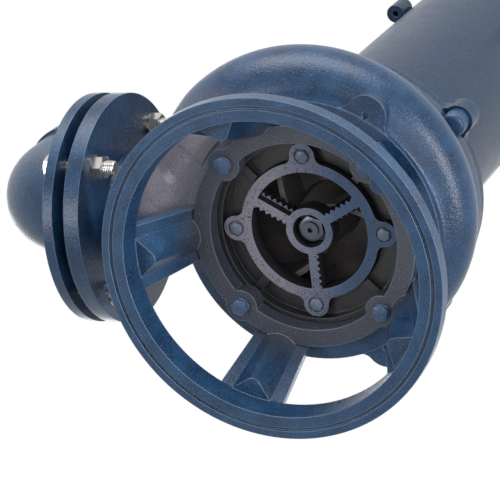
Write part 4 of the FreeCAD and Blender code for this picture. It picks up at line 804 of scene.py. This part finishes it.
def lug_fillet(side):
    """The filled corner between the cutter's ring and one side of a lug, as a flat block with a hollow edge.

    The edge is an arc that touches both circles. Its centre is a fillet's radius away from each, so its angle
    from the lug follows from the three sides of the triangle by the law of cosines.
    """
    ring, circle, radius, fillet = (CUTTER_LUG[key] for key in ("ring", "circle", "radius", "fillet"))
    far, near = ring + fillet, radius + fillet
    turn = side * np.arccos((far ** 2 + circle ** 2 - near ** 2) / (2 * far * circle))
    centre = far * np.array([np.cos(turn), np.sin(turn)])
    to_ring = np.arctan2(*(-centre)[::-1])
    to_lug = np.arctan2(*(np.array([circle, 0]) - centre)[::-1])
    swing = (to_lug - to_ring + np.pi) % (2 * np.pi) - np.pi
    sweep = to_ring + swing * np.linspace(0, 1, FILLET_POINTS)
    arc = centre + fillet * np.stack([np.cos(sweep), np.sin(sweep)], axis=-1)
    root = turn * FILLET_ROOT["share"]
    corner = (ring - FILLET_ROOT["depth"]) * np.array([np.cos(root), np.sin(root)])
    outline = np.concatenate([corner[None, :], arc])
    count = len(outline)
    points = np.concatenate([np.column_stack([outline, np.full(count, CUTTER_LUG[level])])
                             for level in ("front", "back")])
    low = [[0, i + 1, i] for i in range(1, count - 1)]
    high = [[count, count + i, count + i + 1] for i in range(1, count - 1)]
    walls = [[i, (i + 1) % count, count + (i + 1) % count, count + i] for i in range(count)]
    return points, low + high + walls


def cutter_lug_fillets():
    """The fillets on both sides of each lug, which the cutter plate's casting has."""
    shapes = [set_at(lug_fillet(side), (0, 0, 0), UP, angle)
              for side in (1, -1) for _, _, angle in around(1, CUTTER_SCREW["angle"])]
    add_crisp("cutter_lug_fillets", shapes, "cutter_iron", CUTTER_STEEL)


def motor_lug_ends():
    """The rounded lower ends of the casing's lugs, which close the bolts' threaded holes from below."""
    shapes = [set_at(revolved(LUG_END), (x, y, LUG_END_LEVEL), UP)
              for x, y, _ in around(MOTOR_BOLT["circle"], MOTOR_BOLT["angle"])]
    add_crisp("motor_lug_ends", shapes, "blue_paint", CASING_ENAMEL)


casing_bowl()
outlet_neck()
motor_lug_ends()
cutter_lug_fillets()
hexagon_heads("stand_bolt_heads", "base_bolts", STAND_BOLT, DOWN, "bolt_paint", BOLT_ENAMEL)
hexagon_heads("cutter_screw_heads", "cutter_screws", CUTTER_SCREW, DOWN, "bolt_paint", SCREW_ENAMEL,
              CUTTER_WASHER_FACE)
hexagon_heads("motor_bolt_heads", "motor_bolts", MOTOR_BOLT, UP, "stainless", STAINLESS)
outlet_nuts()
outlet_bolts()
socket_screws()
handle_bolt_heads()
shaft_end_nut()
gland_pressing_nut()


# Stage, lamps and camera

# Place and aim in millimetres and the upward direction, as they were worked out from the photograph, then
# the lens, and how near and how far it sees in metres
CAMERA_PLACE = np.array([-670.7, 614.4, -1472.6])
CAMERA_AIM = np.array([12.4, 19.3, 0.0])
CAMERA_UP = np.array([0.0287, 0.9313, 0.3631])
PHOTO_SIZE = 500
FOCAL_PIXELS = 2190.16
SENSOR_WIDTH = 36
SIGHT = (0.05, 20)

FLOOR_REACH = 15
FLOOR_LEVEL = -0.0004
FLOOR_GLOW = 0.55
SKY_STRENGTH = 0.28

PUMP_MIDDLE = (0.06, 0, 0.15)
# Name, direction from the pump's middle, distance, width and height in metres, and power in watts
LAMPS = (
    ("key_lamp", (0.1, 0.95, 0.08), 1.6, 1.8, 0.9, 26),
    ("lower_lamp", (-0.5, 0.35, -0.8), 1.8, 1.2, 1.2, 8),
    ("upper_lamp", (0.5, -0.5, 0.8), 1.8, 1.4, 1.4, 12),
    ("side_strip", (-0.9, 0.15, -0.3), 1.5, 1.3, 0.3, 16),
    ("rim_lamp", (0.46, 0.2, -0.85), 1.6, 0.45, 0.45, 7),
)


def pale_floor():
    """A pale floor that the eye sees from above, with the object's shadow on it.

    Light passes through it, and so does sight from below.
    """
    mesh = bpy.data.meshes.new("floor")
    corners = ((-1, -1), (1, -1), (1, 1), (-1, 1))
    points = [(FLOOR_REACH * x, FLOOR_REACH * y, FLOOR_LEVEL) for x, y in corners]
    mesh.from_pydata(points, [], [(0, 1, 2, 3)])
    floor = add_object("floor", mesh)
    material = bpy.data.materials.new("pale_studio_floor")
    tree = empty_tree(material)
    diffuse = add(tree, "ShaderNodeBsdfDiffuse", {"Color": linear("#f2f2f2")})
    clear = add(tree, "ShaderNodeBsdfTransparent")
    back = add(tree, "ShaderNodeNewGeometry").outputs["Backfacing"]
    seen = add(tree, "ShaderNodeLightPath").outputs["Is Camera Ray"]
    through = combined(tree, "MAXIMUM", back, combined(tree, "SUBTRACT", 1.0, seen))
    # A glow that only the eye sees keeps it pale as far as the horizon
    glow = add(tree, "ShaderNodeEmission", {"Strength": combined(tree, "MULTIPLY", seen, FLOOR_GLOW)})
    pale = add(tree, "ShaderNodeAddShader", {0: diffuse.outputs["BSDF"], 1: glow.outputs["Emission"]})
    surface = add(tree, "ShaderNodeMixShader", {
        0: through, 1: pale.outputs["Shader"], 2: clear.outputs["BSDF"]})
    add(tree, "ShaderNodeOutputMaterial", {"Surface": surface.outputs["Shader"]})
    mesh.materials.append(material)


def white_surroundings(strength):
    """A world that is white to the eye and in reflections, and lights the object softly."""
    world = bpy.data.worlds.new("studio")
    bpy.context.scene.world = world
    tree = empty_tree(world)
    path = add(tree, "ShaderNodeLightPath").outputs
    seen = combined(tree, "MAXIMUM", path["Is Camera Ray"], path["Is Glossy Ray"])
    white = combined(tree, "MAXIMUM", seen, path["Is Transmission Ray"])
    sky = add(tree, "ShaderNodeBackground", {
        "Color": (1, 1, 1, 1), "Strength": ramp(tree, white, 0.0, 1.0, strength, 1.0)})
    add(tree, "ShaderNodeOutputWorld", {"Surface": sky.outputs["Background"]})


def soft_lamp(name, direction, distance, width, height, power):
    """An oblong lamp at a distance from the pump's middle in a direction, aimed back at it."""
    lamp = bpy.data.lights.new(name, "AREA")
    lamp.shape = "RECTANGLE"
    lamp.size = width
    lamp.size_y = height
    lamp.energy = power
    holder = add_object(name, lamp)
    away = Vector(direction).normalized()
    holder.location = Vector(PUMP_MIDDLE) + away * distance
    holder.rotation_euler = away.to_track_quat("Z", "Y").to_euler()


def photo_camera():
    """The photograph's camera, as its place, aim and focal length were worked out."""
    back = Vector(CAMERA_PLACE - CAMERA_AIM).normalized()
    right = Vector(CAMERA_UP).cross(back).normalized()
    up = back.cross(right)
    data = bpy.data.cameras.new("photo_camera")
    data.sensor_width = SENSOR_WIDTH
    data.lens = FOCAL_PIXELS / PHOTO_SIZE * SENSOR_WIDTH
    data.clip_start, data.clip_end = SIGHT
    camera = add_object("photo_camera", data)
    turn = Matrix((right, up, back)).transposed().to_4x4()
    camera.matrix_world = Matrix.Translation(Vector(CAMERA_PLACE) * MM) @ turn
    bpy.context.scene.camera = camera


pale_floor()
white_surroundings(SKY_STRENGTH)
photo_camera()
for lamp in LAMPS:
    soft_lamp(*lamp)
bpy.context.scene.view_settings.view_transform = "Standard"
